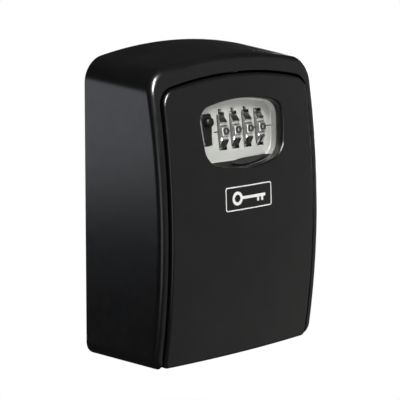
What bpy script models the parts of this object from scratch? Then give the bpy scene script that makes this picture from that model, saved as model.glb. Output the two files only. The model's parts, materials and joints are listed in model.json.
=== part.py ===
"""Wall-mounted key lock box with four number wheels, in metres, +Z up, back face towards +Y.

The origin is at the middle of the base. The front is crowned both ways: front_y() gives its surface.
The lock is built square in its own frame, LOCK_FRAME, which is tilted to lie along the crowned door.
"""

import math

import bmesh
import bpy
from mathutils import Matrix, Vector

# Housing, all sizes in metres.
HOUSING_WIDTH = 0.105
HOUSING_HEIGHT = 0.1397
CROWN_DEPTH = 0.0507
CROWN_Z = 0.0565
PROFILE_RADIUS = 0.330
PLAN_RADIUS = 0.430
SIDE_DRAFT = 0.057
TOP_DRAFT = 0.080
TOP_ARCH_RADIUS = 0.216
TOP_CORNER_RADIUS = 0.012
BOTTOM_CORNER_RADIUS = 0.0058
FRONT_FILLET = 0.003
WALL = 0.003
BACK_WALL = 0.003
FLOOR = 0.003
LIP_DEPTH = 0.0044
FRAME_BAND = 0.0042
FRAME_TOP_BAND = 0.0079
OPENING_ARCH_RADIUS = 0.188
OPENING_CORNER_RADIUS = 0.0085

# Fixing holes through the back wall.
FIXING_SPACING_X = 0.060
FIXING_SPACING_Z = 0.062
FIXING_CENTRE_Z = 0.060
FIXING_HOLE_RADIUS = 0.0028
FIXING_SINK_RADIUS = 0.0052
FIXING_SINK_DEPTH = 0.0016

# Door.
DOOR_PROUD = 0.001
DOOR_GAP = 0.001
DOOR_FILLET = 0.0014
DOOR_SKIN = 0.0022
DOOR_RIM = 0.002
DOOR_RIM_DEPTH = 0.005
DOOR_BASE_GAP = 0.0005
DOOR_BOTTOM_RADIUS = 0.0022

# Hinge at the foot of the door.
HINGE_Z = 0.0034
HINGE_SETBACK = 0.0052
HINGE_PIN_RADIUS = 0.00125
HINGE_PIN_IN_FRAME = 0.0028
KNUCKLE_RADIUS = 0.0027
KNUCKLE_LENGTH = 0.007
FLOOR_CLEARANCE = 0.0012

# Window in the door and the lock behind it.
WINDOW_FROM_TOP = 0.0377
WINDOW_HALF_WIDTH = 0.0256
WINDOW_TOP = 0.0153
WINDOW_BOTTOM = 0.0155
WINDOW_TOP_ARCH = 0.085
WINDOW_BOTTOM_ARCH = 0.080
WINDOW_CORNER = 0.0075
WINDOW_TAPER = 0.13
WINDOW_LIP_RADIUS = 0.0012
WINDOW_COLLAR = 0.0025
COLLAR_DEPTH = 0.0051
POCKET_DEPTH = 0.0085
PLATE_THICKNESS = 0.0013
TRAY_WALL = 0.0015
SILL_RISE = 0.0034
SILL_SHARE = 0.8
PULL_TAB_X = 0.0058
PULL_TAB_HALF_WIDTH = 0.0095
PULL_TAB_SHARE = 0.84
PULL_TAB_THICKNESS = 0.0008
PULL_TAB_CLEARANCE = 0.0004

# Number wheels.
WHEEL_COUNT = 4
WHEEL_PITCH = 0.0077
WHEEL_ROW_CENTRE_X = 0.0051
WHEEL_Z = 0.0012
WHEEL_APOTHEM = 0.0095
WHEEL_WIDTH = 0.0042
WHEEL_PROUD = 0.003
WHEEL_FLAT = 0.0036
WHEEL_NOTCH_DEPTH = 0.0009
DIGITS = 10
SHAFT_RADIUS = 0.002
SLEEVE_HUB_RADIUS = 0.0033
SLEEVE_DISC_RADIUS = 0.0047
SLEEVE_GAP = 0.0005
GATE_DISTANCE = 0.0031
SHAFT_OVERHANG = 0.0016
CLIP_THICKNESS = 0.0008
CLIP_RADIUS = 0.0038
SHAFT_HEAD_RADIUS = 0.003
WHEEL_NOTCH_SLOPE = 0.0008
SLEEVE_FIT = 0.00036

# Lever, latch slide and its spring.
LEVER_X = -0.0155
LEVER_SLOT_WIDTH = 0.0042
LEVER_SLOT_TOP_PLAY = 0.0005
LEVER_SLOT_FOOT_PLAY = 0.0018
LEVER_KNOB_Z = 0.0048
LEVER_KNOB_HEIGHT = 0.0040
LEVER_KNOB_WIDTH = 0.0048
LEVER_KNOB_PROUD = 0.0034
LEVER_TAIL_LENGTH = 0.0012
LEVER_NOSE_ROUND = 0.0010
LEVER_NECK_WIDTH = 0.0030
LEVER_STUD_RADIUS = 0.0012
LEVER_ARM_WIDTH = 0.0056
LEVER_ARM_FOOT = -0.0040
LATCH_THICKNESS = 0.0014
LATCH_TRAVEL_DOWN = 0.0055
LATCH_TRAVEL_UP = 0.0025
TONGUE_CLEARANCE = 0.0009
LATCH_BAR_HEIGHT = 0.0045
LATCH_TONGUE_WIDTH = 0.016
SPRING_RADIUS = 0.0019
SPRING_WIRE_RADIUS = 0.0003
SPRING_TURNS = 7
SPRING_X = 0.0246

# Lock case with its fasteners, and the code-change lever behind it.
CASE_WALL = 0.0016
CASE_HALF_WIDTH = 0.0285
CASE_TOP = 0.0158
CASE_BOTTOM = 0.0135
BOSS_X = 0.0325
BOSS_Z = 0.0085
BOSS_RADIUS = 0.0032
BOSS_DEPTH = 0.0080
EAR_THICKNESS = 0.0022
TAB_WIDTH = 0.0045
SCREW_RADIUS = 0.0011
SCREW_HEAD_RADIUS = 0.0023
SCREW_HEAD_HEIGHT = 0.0014
SCREW_TOP_RADIUS = 0.0018
SCREW_SLOT_LENGTH = 0.0025
SCREW_SLOT_DEPTH = 0.0007
SCREW_BITE = 0.0034
SCREW_SLOT = 0.0007
CODE_LEVER_X = 0.014
CODE_LEVER_Z = 0.0005
CODE_LEVER_PIVOT_RADIUS = 0.0018
CODE_LEVER_LENGTH = 0.011
CODE_LEVER_WIDTH = 0.0044
CODE_LEVER_THICKNESS = 0.0016
CODE_CAM_RADIUS = 0.0028
CODE_CAM_THICKNESS = 0.0010
CODE_LEVER_ARM_WIDTH = 0.0031
CODE_LEVER_GRIP = 0.0030
CODE_LEVER_GRIP_LENGTH = 0.002
DETENT_THICKNESS = 0.0004
DETENT_LEAF_WIDTH = 0.0029
DETENT_STRIP_DEPTH = 0.004

# Keeper plate behind the lip over the door.
KEEPER_WIDTH = 0.030
KEEPER_THICKNESS = 0.0014
KEEPER_HEIGHT = 0.0042
KEEPER_SCREW_X = 0.0115

CLEARANCE = 0.0003
JOIN_DEPTH = 0.001
SHALLOW_JOIN = 0.0001
CUTTER_REACH = 0.02

CORNER_STEPS = 6
SIDE_STEPS = 8
ARCH_STEPS = 8
FLAT_STEPS = 4
ROUND_STEPS = 24
SMALL_ROUND_STEPS = 16
FILLET_STEPS = 5
SMALL_FILLET_STEPS = 4
SPRING_STEPS_PER_TURN = 10
FACE_RINGS = (0.25, 0.5, 0.75)

TOTAL_DEPTH = CROWN_DEPTH + DOOR_PROUD
BACK_Y = TOTAL_DEPTH / 2
WINDOW_CENTRE_Z = HOUSING_HEIGHT - WINDOW_FROM_TOP


def clear_scene():
    for obj in list(bpy.data.objects):
        bpy.data.objects.remove(obj, do_unlink=True)


def make_collection(name):
    made = bpy.data.collections.new(name)
    bpy.context.scene.collection.children.link(made)
    return made


clear_scene()
PARTS = make_collection("key_lock_box")
CUTTERS = make_collection("cutters")
CUTTERS.hide_render = True


def front_y(x, z):
    """The crowned front surface of the frame, as a world Y."""
    sag = (z - CROWN_Z) ** 2 / (2 * PROFILE_RADIUS) + x**2 / (2 * PLAN_RADIUS)
    return BACK_Y - CROWN_DEPTH + sag


def door_y(x, z):
    return front_y(x, z) - DOOR_PROUD


LOCK_TILT = math.atan((WINDOW_CENTRE_Z - CROWN_Z) / PROFILE_RADIUS)
LOCK_ORIGIN = Vector((0, door_y(0, WINDOW_CENTRE_Z), WINDOW_CENTRE_Z))
LOCK_FRAME = Matrix.Translation(LOCK_ORIGIN) @ Matrix.Rotation(-LOCK_TILT, 4, "X")


def arc_points(centre, radius, start, end, steps):
    """Points (x, z, normal x, normal z) along an arc, leaving out its last one."""
    for step in range(steps):
        angle = start + (end - start) * step / steps
        normal = (math.cos(angle), math.sin(angle))
        yield (centre[0] + radius * normal[0], centre[1] + radius * normal[1], *normal)


def half_outline(half_width, bottom, top, corners, arches):
    """Points (x, z, normal x, normal z) up the right half of an arched, round-cornered outline.

    corners is (bottom radius, top radius) and arches is (bottom radius or None where flat, top radius).
    """
    low_radius, high_radius = corners
    low_arch, high_arch = arches
    across = half_width - low_radius
    if low_arch is None:
        low_centre = (across, bottom + low_radius)
        low_angle = -math.pi / 2
        points = [(across * step / FLAT_STEPS, bottom, 0.0, -1.0) for step in range(FLAT_STEPS)]
    else:
        middle = bottom + low_arch
        low_centre = (across, middle - math.sqrt((low_arch - low_radius) ** 2 - across**2))
        low_angle = math.atan2(low_centre[1] - middle, across)
        points = list(arc_points((0.0, middle), low_arch, -math.pi / 2, low_angle, FLAT_STEPS))
    across = half_width - high_radius
    middle = top - high_arch
    high_centre = (across, middle + math.sqrt((high_arch - high_radius) ** 2 - across**2))
    high_angle = math.atan2(high_centre[1] - middle, across)
    points += arc_points(low_centre, low_radius, low_angle, 0.0, CORNER_STEPS)
    for step in range(SIDE_STEPS):
        z = low_centre[1] + (high_centre[1] - low_centre[1]) * step / SIDE_STEPS
        points.append((half_width, z, 1.0, 0.0))
    points += arc_points(high_centre, high_radius, 0.0, high_angle, CORNER_STEPS)
    points += arc_points((0.0, middle), high_arch, high_angle, math.pi / 2, ARCH_STEPS)
    return points + [(0.0, top, 0.0, 1.0)]


def outline(half_width, bottom, top, corners, arches, taper=0.0):
    """The whole closed outline, anticlockwise from the middle of its bottom as seen from the front."""
    right = half_outline(half_width, bottom, top, corners, arches)
    if taper:
        right = [(x * (1 - taper * ((top - z) / (top - bottom)) ** 2), z, nx, nz) for x, z, nx, nz in right]
    left = [(-x, z, -nx, nz) for x, z, nx, nz in reversed(right[1:-1])]
    return right + left


def inset(ring, distance):
    return [(x - distance * nx, z - distance * nz, nx, nz) for x, z, nx, nz in ring]


def ring_at(ring, y):
    """Outline points as 3D points, at a Y that is a number or a function of x and z."""
    return [Vector((x, y(x, z) if callable(y) else y, z)) for x, z, _, _ in ring]


def rounded_edge(ring, radius, y, steps):
    """Rings over the quarter round from the side of an edge to the face at y, which lies inside the ring."""
    for step in range(steps + 1):
        turn = math.pi / 2 * step / steps
        over = radius * (1 - math.sin(turn))
        edge = inset(ring, radius * (1 - math.cos(turn)))
        yield [Vector((x, y(x, z) + over, z)) for x, z, _, _ in edge]


def scaled(ring, centre_z, share):
    return [(x * share, centre_z + (z - centre_z) * share, nx, nz) for x, z, nx, nz in ring]


def link(obj, collection):
    collection.objects.link(obj)
    return obj


def material(name, colour, roughness, metallic):
    made = bpy.data.materials.get(name) or bpy.data.materials.new(name)
    made.use_nodes = True
    shader = made.node_tree.nodes["Principled BSDF"]
    shader.inputs["Base Color"].default_value = (*colour, 1.0)
    shader.inputs["Roughness"].default_value = roughness
    shader.inputs["Metallic"].default_value = metallic
    return made


FINISHES = {
    "black_paint": ((0.012, 0.012, 0.013), 0.35, 0.0),
    "satin_silver": ((0.62, 0.62, 0.60), 0.38, 0.7),
    "bright_wheel": ((0.72, 0.72, 0.71), 0.25, 0.9),
    "black_plastic": ((0.015, 0.015, 0.016), 0.45, 0.0),
    "zinc_steel": ((0.55, 0.55, 0.54), 0.35, 1.0),
    "spring_steel": ((0.42, 0.42, 0.43), 0.3, 1.0),
    "brass": ((0.72, 0.52, 0.20), 0.35, 1.0),
    "red_plastic": ((0.45, 0.03, 0.02), 0.4, 0.0),
}


def finish(obj, look):
    """Give the object its own material, and shade its round faces smooth."""
    colour, roughness, metallic = FINISHES[look]
    obj.data.materials.clear()
    obj.data.materials.append(material(f"{obj.name}_{look}", colour, roughness, metallic))
    obj.data.shade_smooth()
    obj.data.set_sharp_from_angle(angle=math.radians(30))
    return obj


def mesh_object(name, bm, frame=None):
    bmesh.ops.recalc_face_normals(bm, faces=bm.faces)
    mesh = bpy.data.meshes.new(name)
    bm.to_mesh(mesh)
    bm.free()
    obj = bpy.data.objects.new(name, mesh)
    if frame is not None:
        obj.matrix_world = frame
    return obj


def loft(name, rings, frame=None):
    """A closed solid through rings of equal count. A ring of one point is a pole; an end ring is capped."""
    bm = bmesh.new()
    loops = [[bm.verts.new(point) for point in ring] for ring in rings]
    for low, high in zip(loops, loops[1:]):
        count = max(len(low), len(high))
        for index in range(count):
            after = (index + 1) % count
            if len(low) == 1:
                bm.faces.new((low[0], high[after], high[index]))
            elif len(high) == 1:
                bm.faces.new((low[index], low[after], high[0]))
            else:
                bm.faces.new((low[index], low[after], high[after], high[index]))
    for loop in (loops[0], loops[-1]):
        if len(loop) > 2:
            bm.faces.new(loop)
    return mesh_object(name, bm, frame)


def box(name, low, high, frame=None):
    low = Vector(low)
    high = Vector(high)
    bm = bmesh.new()
    bmesh.ops.create_cube(bm, size=1.0)
    bmesh.ops.scale(bm, vec=high - low, verts=bm.verts)
    bmesh.ops.translate(bm, vec=(low + high) / 2, verts=bm.verts)
    return mesh_object(name, bm, frame)


def rod(name, start, end, radius, frame=None, end_radius=None, steps=ROUND_STEPS):
    """A cylinder, or a cone where end_radius is given, from start to end."""
    start = Vector(start)
    end = Vector(end)
    along = end - start
    bm = bmesh.new()
    bmesh.ops.create_cone(
        bm,
        cap_ends=True,
        segments=steps,
        radius1=radius,
        radius2=radius if end_radius is None else end_radius,
        depth=along.length,
    )
    turn = Vector((0, 0, 1)).rotation_difference(along).to_matrix().to_4x4()
    bmesh.ops.transform(bm, matrix=Matrix.Translation((start + end) / 2) @ turn, verts=bm.verts)
    return mesh_object(name, bm, frame)


def prism(name, points, low, high, axis, frame=None):
    """A flat outline extruded along axis X or Y. Points are the other two coordinates in order."""
    bm = bmesh.new()
    place = {"X": lambda a, b: Vector((low, a, b)), "Y": lambda a, b: Vector((a, low, b))}[axis]
    along = {"X": Vector((high - low, 0, 0)), "Y": Vector((0, high - low, 0))}[axis]
    face = bm.faces.new([bm.verts.new(place(a, b)) for a, b in points])
    made = bmesh.ops.extrude_face_region(bm, geom=[face])
    moved = [item for item in made["geom"] if isinstance(item, bmesh.types.BMVert)]
    bmesh.ops.translate(bm, vec=along, verts=moved)
    return mesh_object(name, bm, frame)


def combine(obj, tool, operation):
    """Join or cut obj by tool with a Boolean modifier. The tool stays in the cutters collection."""
    link(tool, CUTTERS)
    tool.hide_render = True
    tool.display_type = "WIRE"
    modifier = obj.modifiers.new(f"{operation.lower()}_{tool.name}", "BOOLEAN")
    modifier.operation = operation
    modifier.solver = "EXACT"
    modifier.object = tool
    return obj


def cut(obj, *tools):
    for tool in tools:
        combine(obj, tool, "DIFFERENCE")
    return obj


def join(obj, *tools):
    for tool in tools:
        combine(obj, tool, "UNION")
    return obj


def outer_outline():
    return outline(
        HOUSING_WIDTH / 2,
        0.0,
        HOUSING_HEIGHT,
        (BOTTOM_CORNER_RADIUS, TOP_CORNER_RADIUS),
        (None, TOP_ARCH_RADIUS),
    )


def drafted(ring, depth):
    """The outer outline narrowed by its draft at a depth, a number or a function, before the back face."""
    found = []
    for x, z, nx, nz in ring:
        at = depth(x, z) if callable(depth) else depth
        across = 1 - SIDE_DRAFT * at / (HOUSING_WIDTH / 2)
        upwards = 1 - TOP_DRAFT * at / HOUSING_HEIGHT
        found.append((x * across, z * upwards, nx, nz))
    return found


def front_depth(x, z):
    return BACK_Y - front_y(x, z)


def frame_front_size():
    """Half width at the widest and height at the crown of the frame's front edge."""
    side = HOUSING_WIDTH / 2 - SIDE_DRAFT * front_depth(HOUSING_WIDTH / 2, CROWN_Z)
    crown = HOUSING_HEIGHT - TOP_DRAFT * front_depth(0, HOUSING_HEIGHT)
    return side, crown


def opening_half_width():
    return frame_front_size()[0] - FRAME_BAND


def opening_top():
    return frame_front_size()[1] - FRAME_TOP_BAND


def opening_outline(bottom, inwards=0.0, low_radius=None):
    return outline(
        opening_half_width() - inwards,
        bottom,
        opening_top() - inwards,
        (low_radius or DOOR_BOTTOM_RADIUS, OPENING_CORNER_RADIUS - inwards),
        (None, OPENING_ARCH_RADIUS - inwards),
    )


def door_outline():
    return opening_outline(DOOR_BASE_GAP, DOOR_GAP)


def hinge_y():
    return door_y(opening_half_width(), HINGE_Z) + HINGE_SETBACK


def floor_front_y():
    """Where the housing's floor starts, behind what the foot of the door sweeps."""
    return hinge_y() + (HINGE_Z - DOOR_BASE_GAP) + FLOOR_CLEARANCE


def build_housing():
    back = outer_outline()
    front = drafted(back, front_depth)
    rings = [ring_at(back, BACK_Y)]
    rings += rounded_edge(front, FRONT_FILLET, front_y, FILLET_STEPS)
    opening = opening_outline(FLOOR)
    rings.append(ring_at(opening, front_y))
    rings.append(ring_at(opening, lambda x, z: front_y(x, z) + LIP_DEPTH))
    cavity_front = inset(drafted(back, lambda x, z: front_depth(x, z) - LIP_DEPTH), WALL)
    cavity_front = [(x, max(z, FLOOR), nx, nz) for x, z, nx, nz in cavity_front]
    cavity_back = inset(back, WALL)
    rings.append([Vector((x, front_y(x, z) + LIP_DEPTH, z)) for x, z, _, _ in cavity_front])
    rings.append(ring_at(cavity_back, BACK_Y - BACK_WALL))
    housing = loft("housing", rings)
    far = CUTTER_REACH
    half = opening_half_width()
    bay_low = (-half, BACK_Y - TOTAL_DEPTH - far, -far)
    bay_high = (half, floor_front_y(), FLOOR + BOTTOM_CORNER_RADIUS)
    cut(housing, box("door_bay_cutter", bay_low, bay_high))
    for side, word in ((-1, "left"), (1, "right")):
        start = (side * (half - far / 2), hinge_y(), HINGE_Z)
        end = (side * (half + HINGE_PIN_IN_FRAME + CLEARANCE), hinge_y(), HINGE_Z)
        cut(housing, rod(f"hinge_bore_{word}_cutter", start, end, HINGE_PIN_RADIUS + CLEARANCE))
    for index, (x, z) in enumerate(fixing_points()):
        through = ((x, BACK_Y + far, z), (x, BACK_Y - BACK_WALL - FIXING_SINK_DEPTH, z))
        cut(housing, rod(f"fixing_hole_{index + 1}_cutter", *through, FIXING_HOLE_RADIUS))
        face = BACK_Y - BACK_WALL
        sink = ((x, face + FIXING_SINK_DEPTH, z), (x, face - FIXING_SINK_DEPTH, z))
        flare = FIXING_SINK_RADIUS * 2 - FIXING_HOLE_RADIUS
        cut(housing, rod(f"fixing_sink_{index + 1}_cutter", *sink, FIXING_HOLE_RADIUS, end_radius=flare))
    for index, x in enumerate((-KEEPER_SCREW_X, KEEPER_SCREW_X)):
        tip, head = keeper_screw_ends(x)
        foot = tip - Vector((0, CLEARANCE, 0))
        cut(housing, rod(f"keeper_bore_{index + 1}_cutter", foot, head, SCREW_RADIUS + CLEARANCE))
    return link(finish(housing, "black_paint"), PARTS)


def fixing_points():
    for across in (-0.5, 0.5):
        for upwards in (-0.5, 0.5):
            yield across * FIXING_SPACING_X, FIXING_CENTRE_Z + upwards * FIXING_SPACING_Z


def keeper_y():
    """The keeper's front face, behind the rearmost point of the lip that it covers."""
    return front_y(KEEPER_WIDTH / 2, opening_top() + KEEPER_HEIGHT) + LIP_DEPTH + CLEARANCE


def keeper_screw_ends(x):
    """Tip and head end of the shank of a keeper screw, which bites forwards into the lip."""
    z = opening_top() + KEEPER_HEIGHT / 2
    head = Vector((x, keeper_y() + KEEPER_THICKNESS + CLEARANCE, z))
    return head - Vector((0, KEEPER_THICKNESS + 2 * CLEARANCE + SCREW_BITE, 0)), head


def screw(name, tip, head, frame=None):
    """A pan-head screw with a cross slot, its shank from tip to the underside of the head."""
    way = (head - tip).normalized()
    made = rod(name, tip, head + way * SCREW_HEAD_HEIGHT / 2, SCREW_RADIUS, frame, steps=SMALL_ROUND_STEPS)
    top = head + way * SCREW_HEAD_HEIGHT
    join(made, rod(f"{name}_head_joiner", head, top, SCREW_HEAD_RADIUS, frame, SCREW_TOP_RADIUS))
    for turn in (0, 1):
        reach = Vector((SCREW_SLOT_LENGTH / 2, SCREW_SLOT_DEPTH, SCREW_SLOT / 2))
        if turn:
            reach = reach.zyx
        cut(made, box(f"{name}_slot_{turn + 1}_cutter", top - reach, top + reach, frame))
    return link(finish(made, "zinc_steel"), PARTS)


def screw_bore(name, start, end):
    """A cutter for a lock screw's shank, with clearance."""
    return rod(name, start, end, SCREW_RADIUS + CLEARANCE, LOCK_FRAME, steps=SMALL_ROUND_STEPS)


def build_keeper():
    top = opening_top()
    low = (-KEEPER_WIDTH / 2, keeper_y(), top + CLEARANCE)
    high = (KEEPER_WIDTH / 2, keeper_y() + KEEPER_THICKNESS, top + KEEPER_HEIGHT)
    keeper = box("keeper_plate", low, high)
    for index, x in enumerate((-KEEPER_SCREW_X, KEEPER_SCREW_X)):
        tip, head = keeper_screw_ends(x)
        far = head + Vector((0, SCREW_BITE, 0))
        cut(keeper, rod(f"keeper_hole_{index + 1}_cutter", tip, far, SCREW_RADIUS + CLEARANCE))
        screw(f"keeper_screw_{index + 1}", tip, head)
    link(finish(keeper, "zinc_steel"), PARTS)


def lock_surface(x, z):
    """The door's front surface in the lock frame."""
    return x**2 / (2 * PLAN_RADIUS) + z**2 / (2 * PROFILE_RADIUS)


def window_outline():
    return outline(
        WINDOW_HALF_WIDTH,
        -WINDOW_BOTTOM,
        WINDOW_TOP,
        (WINDOW_CORNER, WINDOW_CORNER),
        (WINDOW_BOTTOM_ARCH, WINDOW_TOP_ARCH),
        WINDOW_TAPER,
    )


def window_cutter():
    """Flares out to the door's surface in a round lip, and runs straight back through the collar."""
    window = window_outline()
    mouth = inset(window, -WINDOW_LIP_RADIUS)
    rings = [ring_at(mouth, lambda x, z: lock_surface(x, z) - COLLAR_DEPTH)]
    for step in range(SMALL_FILLET_STEPS + 1):
        turn = math.pi / 2 * step / SMALL_FILLET_STEPS
        edge = inset(window, -WINDOW_LIP_RADIUS * (1 - math.sin(turn)))
        depth = WINDOW_LIP_RADIUS * (1 - math.cos(turn))
        rings.append([Vector((x, lock_surface(x, z) + depth, z)) for x, z, _, _ in edge])
    rings.append(ring_at(window, COLLAR_DEPTH * 2))
    return loft("window_cutter", rings, LOCK_FRAME)


def boss_points():
    for side in (-1, 1):
        for end in (-1, 1):
            yield side * BOSS_X, end * BOSS_Z


def knuckle_span(side):
    outer = door_half_width() - CLEARANCE
    return side * (outer - KNUCKLE_LENGTH), side * outer


def door_half_width():
    return opening_half_width() - DOOR_GAP


def door_rim(ring):
    """The ring moved to the back edge of the door's rim, which runs straight across at each height."""
    return [Vector((x, door_y(door_half_width(), z) + DOOR_RIM_DEPTH, z)) for x, z, _, _ in ring]


def build_door():
    edge = door_outline()
    middle = CROWN_Z
    face = inset(edge, DOOR_FILLET)
    rings = [[Vector((0, door_y(0, middle), middle))]]
    rings += [ring_at(scaled(face, middle, share), door_y) for share in FACE_RINGS]
    rings += reversed(list(rounded_edge(edge, DOOR_FILLET, door_y, SMALL_FILLET_STEPS)))
    inner = inset(edge, DOOR_RIM)
    rings.append(door_rim(edge))
    rings.append(door_rim(inner))
    for share in (1.0, *reversed(FACE_RINGS)):
        rings.append(ring_at(scaled(inner, middle, share), lambda x, z: door_y(x, z) + DOOR_SKIN))
    rings.append([Vector((0, door_y(0, middle) + DOOR_SKIN, middle))])
    door = loft("door", rings)
    collar = inset(window_outline(), -WINDOW_COLLAR)
    skin_middle = DOOR_SKIN / 2
    collar_rings = [
        ring_at(collar, lambda x, z: lock_surface(x, z) + skin_middle),
        ring_at(collar, COLLAR_DEPTH),
    ]
    join(door, loft("window_collar_joiner", collar_rings, LOCK_FRAME))
    cut(door, window_cutter())
    for index, (x, z) in enumerate(boss_points()):
        start = (x, lock_surface(x, z) + skin_middle, z)
        join(door, rod(f"boss_{index + 1}_joiner", start, (x, BOSS_DEPTH, z), BOSS_RADIUS, LOCK_FRAME))
        bore = ((x, BOSS_DEPTH - SCREW_BITE, z), (x, BOSS_DEPTH * 2, z))
        cut(door, screw_bore(f"boss_bore_{index + 1}_cutter", *bore))
    for side, word in ((-1, "left"), (1, "right")):
        inner_x, outer_x = knuckle_span(side)
        reach = side * (door_half_width() - DOOR_RIM / 2)
        ends = ((inner_x, hinge_y(), HINGE_Z), (reach, hinge_y(), HINGE_Z))
        join(door, rod(f"knuckle_{word}_joiner", *ends, KNUCKLE_RADIUS))
        web_front = door_y(door_half_width(), HINGE_Z) + skin_middle
        web_ends = sorted((inner_x + side * SHALLOW_JOIN, reach - side * SHALLOW_JOIN))
        web_low = (web_ends[0], web_front, DOOR_BASE_GAP + DOOR_RIM / 2)
        web_high = (web_ends[1], hinge_y(), HINGE_Z + KNUCKLE_RADIUS - CLEARANCE)
        join(door, box(f"knuckle_web_{word}_joiner", web_low, web_high))
        bore_start = (inner_x - side * CLEARANCE, hinge_y(), HINGE_Z)
        bore_end = (outer_x + side * KNUCKLE_LENGTH, hinge_y(), HINGE_Z)
        cut(door, rod(f"knuckle_bore_{word}_cutter", bore_start, bore_end, HINGE_PIN_RADIUS + CLEARANCE))
        pin_start = (inner_x, hinge_y(), HINGE_Z)
        pin_end = (side * (opening_half_width() + HINGE_PIN_IN_FRAME), hinge_y(), HINGE_Z)
        pin = rod(f"hinge_pin_{word}", pin_start, pin_end, HINGE_PIN_RADIUS)
        link(finish(pin, "zinc_steel"), PARTS)
    return link(finish(door, "black_paint"), PARTS)


def plate_back():
    return POCKET_DEPTH + PLATE_THICKNESS


def wheel_axis_y():
    return POCKET_DEPTH + WHEEL_APOTHEM - WHEEL_PROUD


def wheel_reach():
    """Largest radius of a turning wheel, at the ends of its flats."""
    return math.hypot(WHEEL_APOTHEM, WHEEL_FLAT / 2)


def wheel_x(index):
    return WHEEL_ROW_CENTRE_X + (index - (WHEEL_COUNT - 1) / 2) * WHEEL_PITCH


def sleeve_disc_thickness():
    """What the wheel pitch leaves for a sleeve's disc between its own wheel and the next."""
    return WHEEL_PITCH - WHEEL_WIDTH - 2 * CLEARANCE - SLEEVE_GAP


def wheel_slot_half_height():
    chord = math.sqrt(wheel_reach() ** 2 - (wheel_axis_y() - plate_back()) ** 2)
    return chord + CLEARANCE


def build_dial_plate():
    window = window_outline()
    outer = inset(window, -TRAY_WALL)
    floor = []
    for x, z, nx, nz in window:
        rise = sill_rise(x) if z < WHEEL_Z - WHEEL_APOTHEM else 0.0
        floor.append((x, z + rise, nx, nz))
    rim = COLLAR_DEPTH + CLEARANCE
    inside = [ring_at(floor, POCKET_DEPTH), ring_at(window, rim)]
    outside = [ring_at(outer, rim), ring_at(outer, plate_back())]
    plate = loft("dial_plate", inside + outside, LOCK_FRAME)
    half_slot = wheel_slot_half_height()
    deep = plate_back() + TRAY_WALL
    for index in range(WHEEL_COUNT):
        across = WHEEL_WIDTH / 2 + CLEARANCE
        low = (wheel_x(index) - across, rim, WHEEL_Z - half_slot)
        high = (wheel_x(index) + across, deep, WHEEL_Z + half_slot)
        cut(plate, box(f"wheel_slot_{index + 1}_cutter", low, high, LOCK_FRAME))
    knob_reach = LEVER_KNOB_HEIGHT / 2
    slot_foot = LEVER_KNOB_Z - knob_reach - LATCH_TRAVEL_DOWN - LEVER_SLOT_FOOT_PLAY
    slot_top = LEVER_KNOB_Z + knob_reach + LATCH_TRAVEL_UP + LEVER_SLOT_TOP_PLAY
    low = (LEVER_X - LEVER_SLOT_WIDTH / 2, rim, slot_foot)
    high = (LEVER_X + LEVER_SLOT_WIDTH / 2, deep, slot_top)
    cut(plate, box("lever_slot_cutter", low, high, LOCK_FRAME))
    start = BOSS_DEPTH + CLEARANCE
    for index, (x, z) in enumerate(boss_points()):
        ear = ((x, start, z), (x, ear_y(), z))
        join(plate, rod(f"plate_ear_{index + 1}_joiner", *ear, BOSS_RADIUS, LOCK_FRAME))
        ends = sorted((x, math.copysign(WINDOW_HALF_WIDTH - TRAY_WALL, x)))
        tab = (
            (ends[0], POCKET_DEPTH + CLEARANCE, z - TAB_WIDTH / 2),
            (ends[1], plate_back() - CLEARANCE, z + TAB_WIDTH / 2),
        )
        join(plate, box(f"plate_tab_{index + 1}_joiner", *tab, LOCK_FRAME))
        bore = ((x, 0, z), (x, ear_y() * 2, z))
        cut(plate, screw_bore(f"plate_ear_bore_{index + 1}_cutter", *bore))
    return link(finish(plate, "satin_silver"), PARTS)


def sill_rise(x):
    """How far the dial plate's floor stands over the window's lower edge at this x."""
    half = WINDOW_HALF_WIDTH * SILL_SHARE
    return SILL_RISE * max(0.0, 1 - (x / half) ** 2)


def sill_point(x, share, over):
    """A point on the sill, from its front edge (share 0) to the dial plate (share 1), raised over it."""
    rim = COLLAR_DEPTH + CLEARANCE
    slope = math.atan2(sill_rise(x), POCKET_DEPTH - rim)
    untapered = x / (1 - WINDOW_TAPER)
    edge = -WINDOW_BOTTOM + WINDOW_BOTTOM_ARCH - math.sqrt(WINDOW_BOTTOM_ARCH**2 - untapered**2)
    y = rim + (POCKET_DEPTH - rim) * share - over * math.sin(slope)
    return Vector((x, y, edge + sill_rise(x) * share + over * math.cos(slope)))


def build_pull_tab():
    """The moulded finger scoop on the sloping sill below the number wheels."""
    rings = []
    low = PULL_TAB_CLEARANCE
    high = PULL_TAB_CLEARANCE + PULL_TAB_THICKNESS
    for size, over in ((0, low), (0.5, low), (1, low), (1, high), (0.5, high), (0, high)):
        ring = []
        for step in range(ROUND_STEPS if size else 1):
            angle = 2 * math.pi * step / ROUND_STEPS
            x = PULL_TAB_X + PULL_TAB_HALF_WIDTH * size * math.cos(angle)
            ring.append(sill_point(x, 0.5 + PULL_TAB_SHARE / 2 * size * math.sin(angle), over))
        rings.append(ring)
    link(finish(loft("pull_tab", rings, LOCK_FRAME), "black_plastic"), PARTS)


def wheel_outline():
    """The number wheel's section as (y, z) about its axis: ten flats with finger notches between them."""
    half_flat = math.atan2(WHEEL_FLAT / 2, WHEEL_APOTHEM)
    pitch = 2 * math.pi / DIGITS
    notch_radius = wheel_reach() - WHEEL_NOTCH_DEPTH
    notch_angle = half_flat + WHEEL_NOTCH_SLOPE / WHEEL_APOTHEM
    points = []
    for digit in range(DIGITS):
        for angle, radius in (
            (-half_flat, wheel_reach()),
            (half_flat, wheel_reach()),
            (notch_angle, notch_radius),
            (pitch - notch_angle, notch_radius),
        ):
            at = math.pi + digit * pitch + angle
            points.append((radius * math.cos(at), radius * math.sin(at)))
    return points


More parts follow.
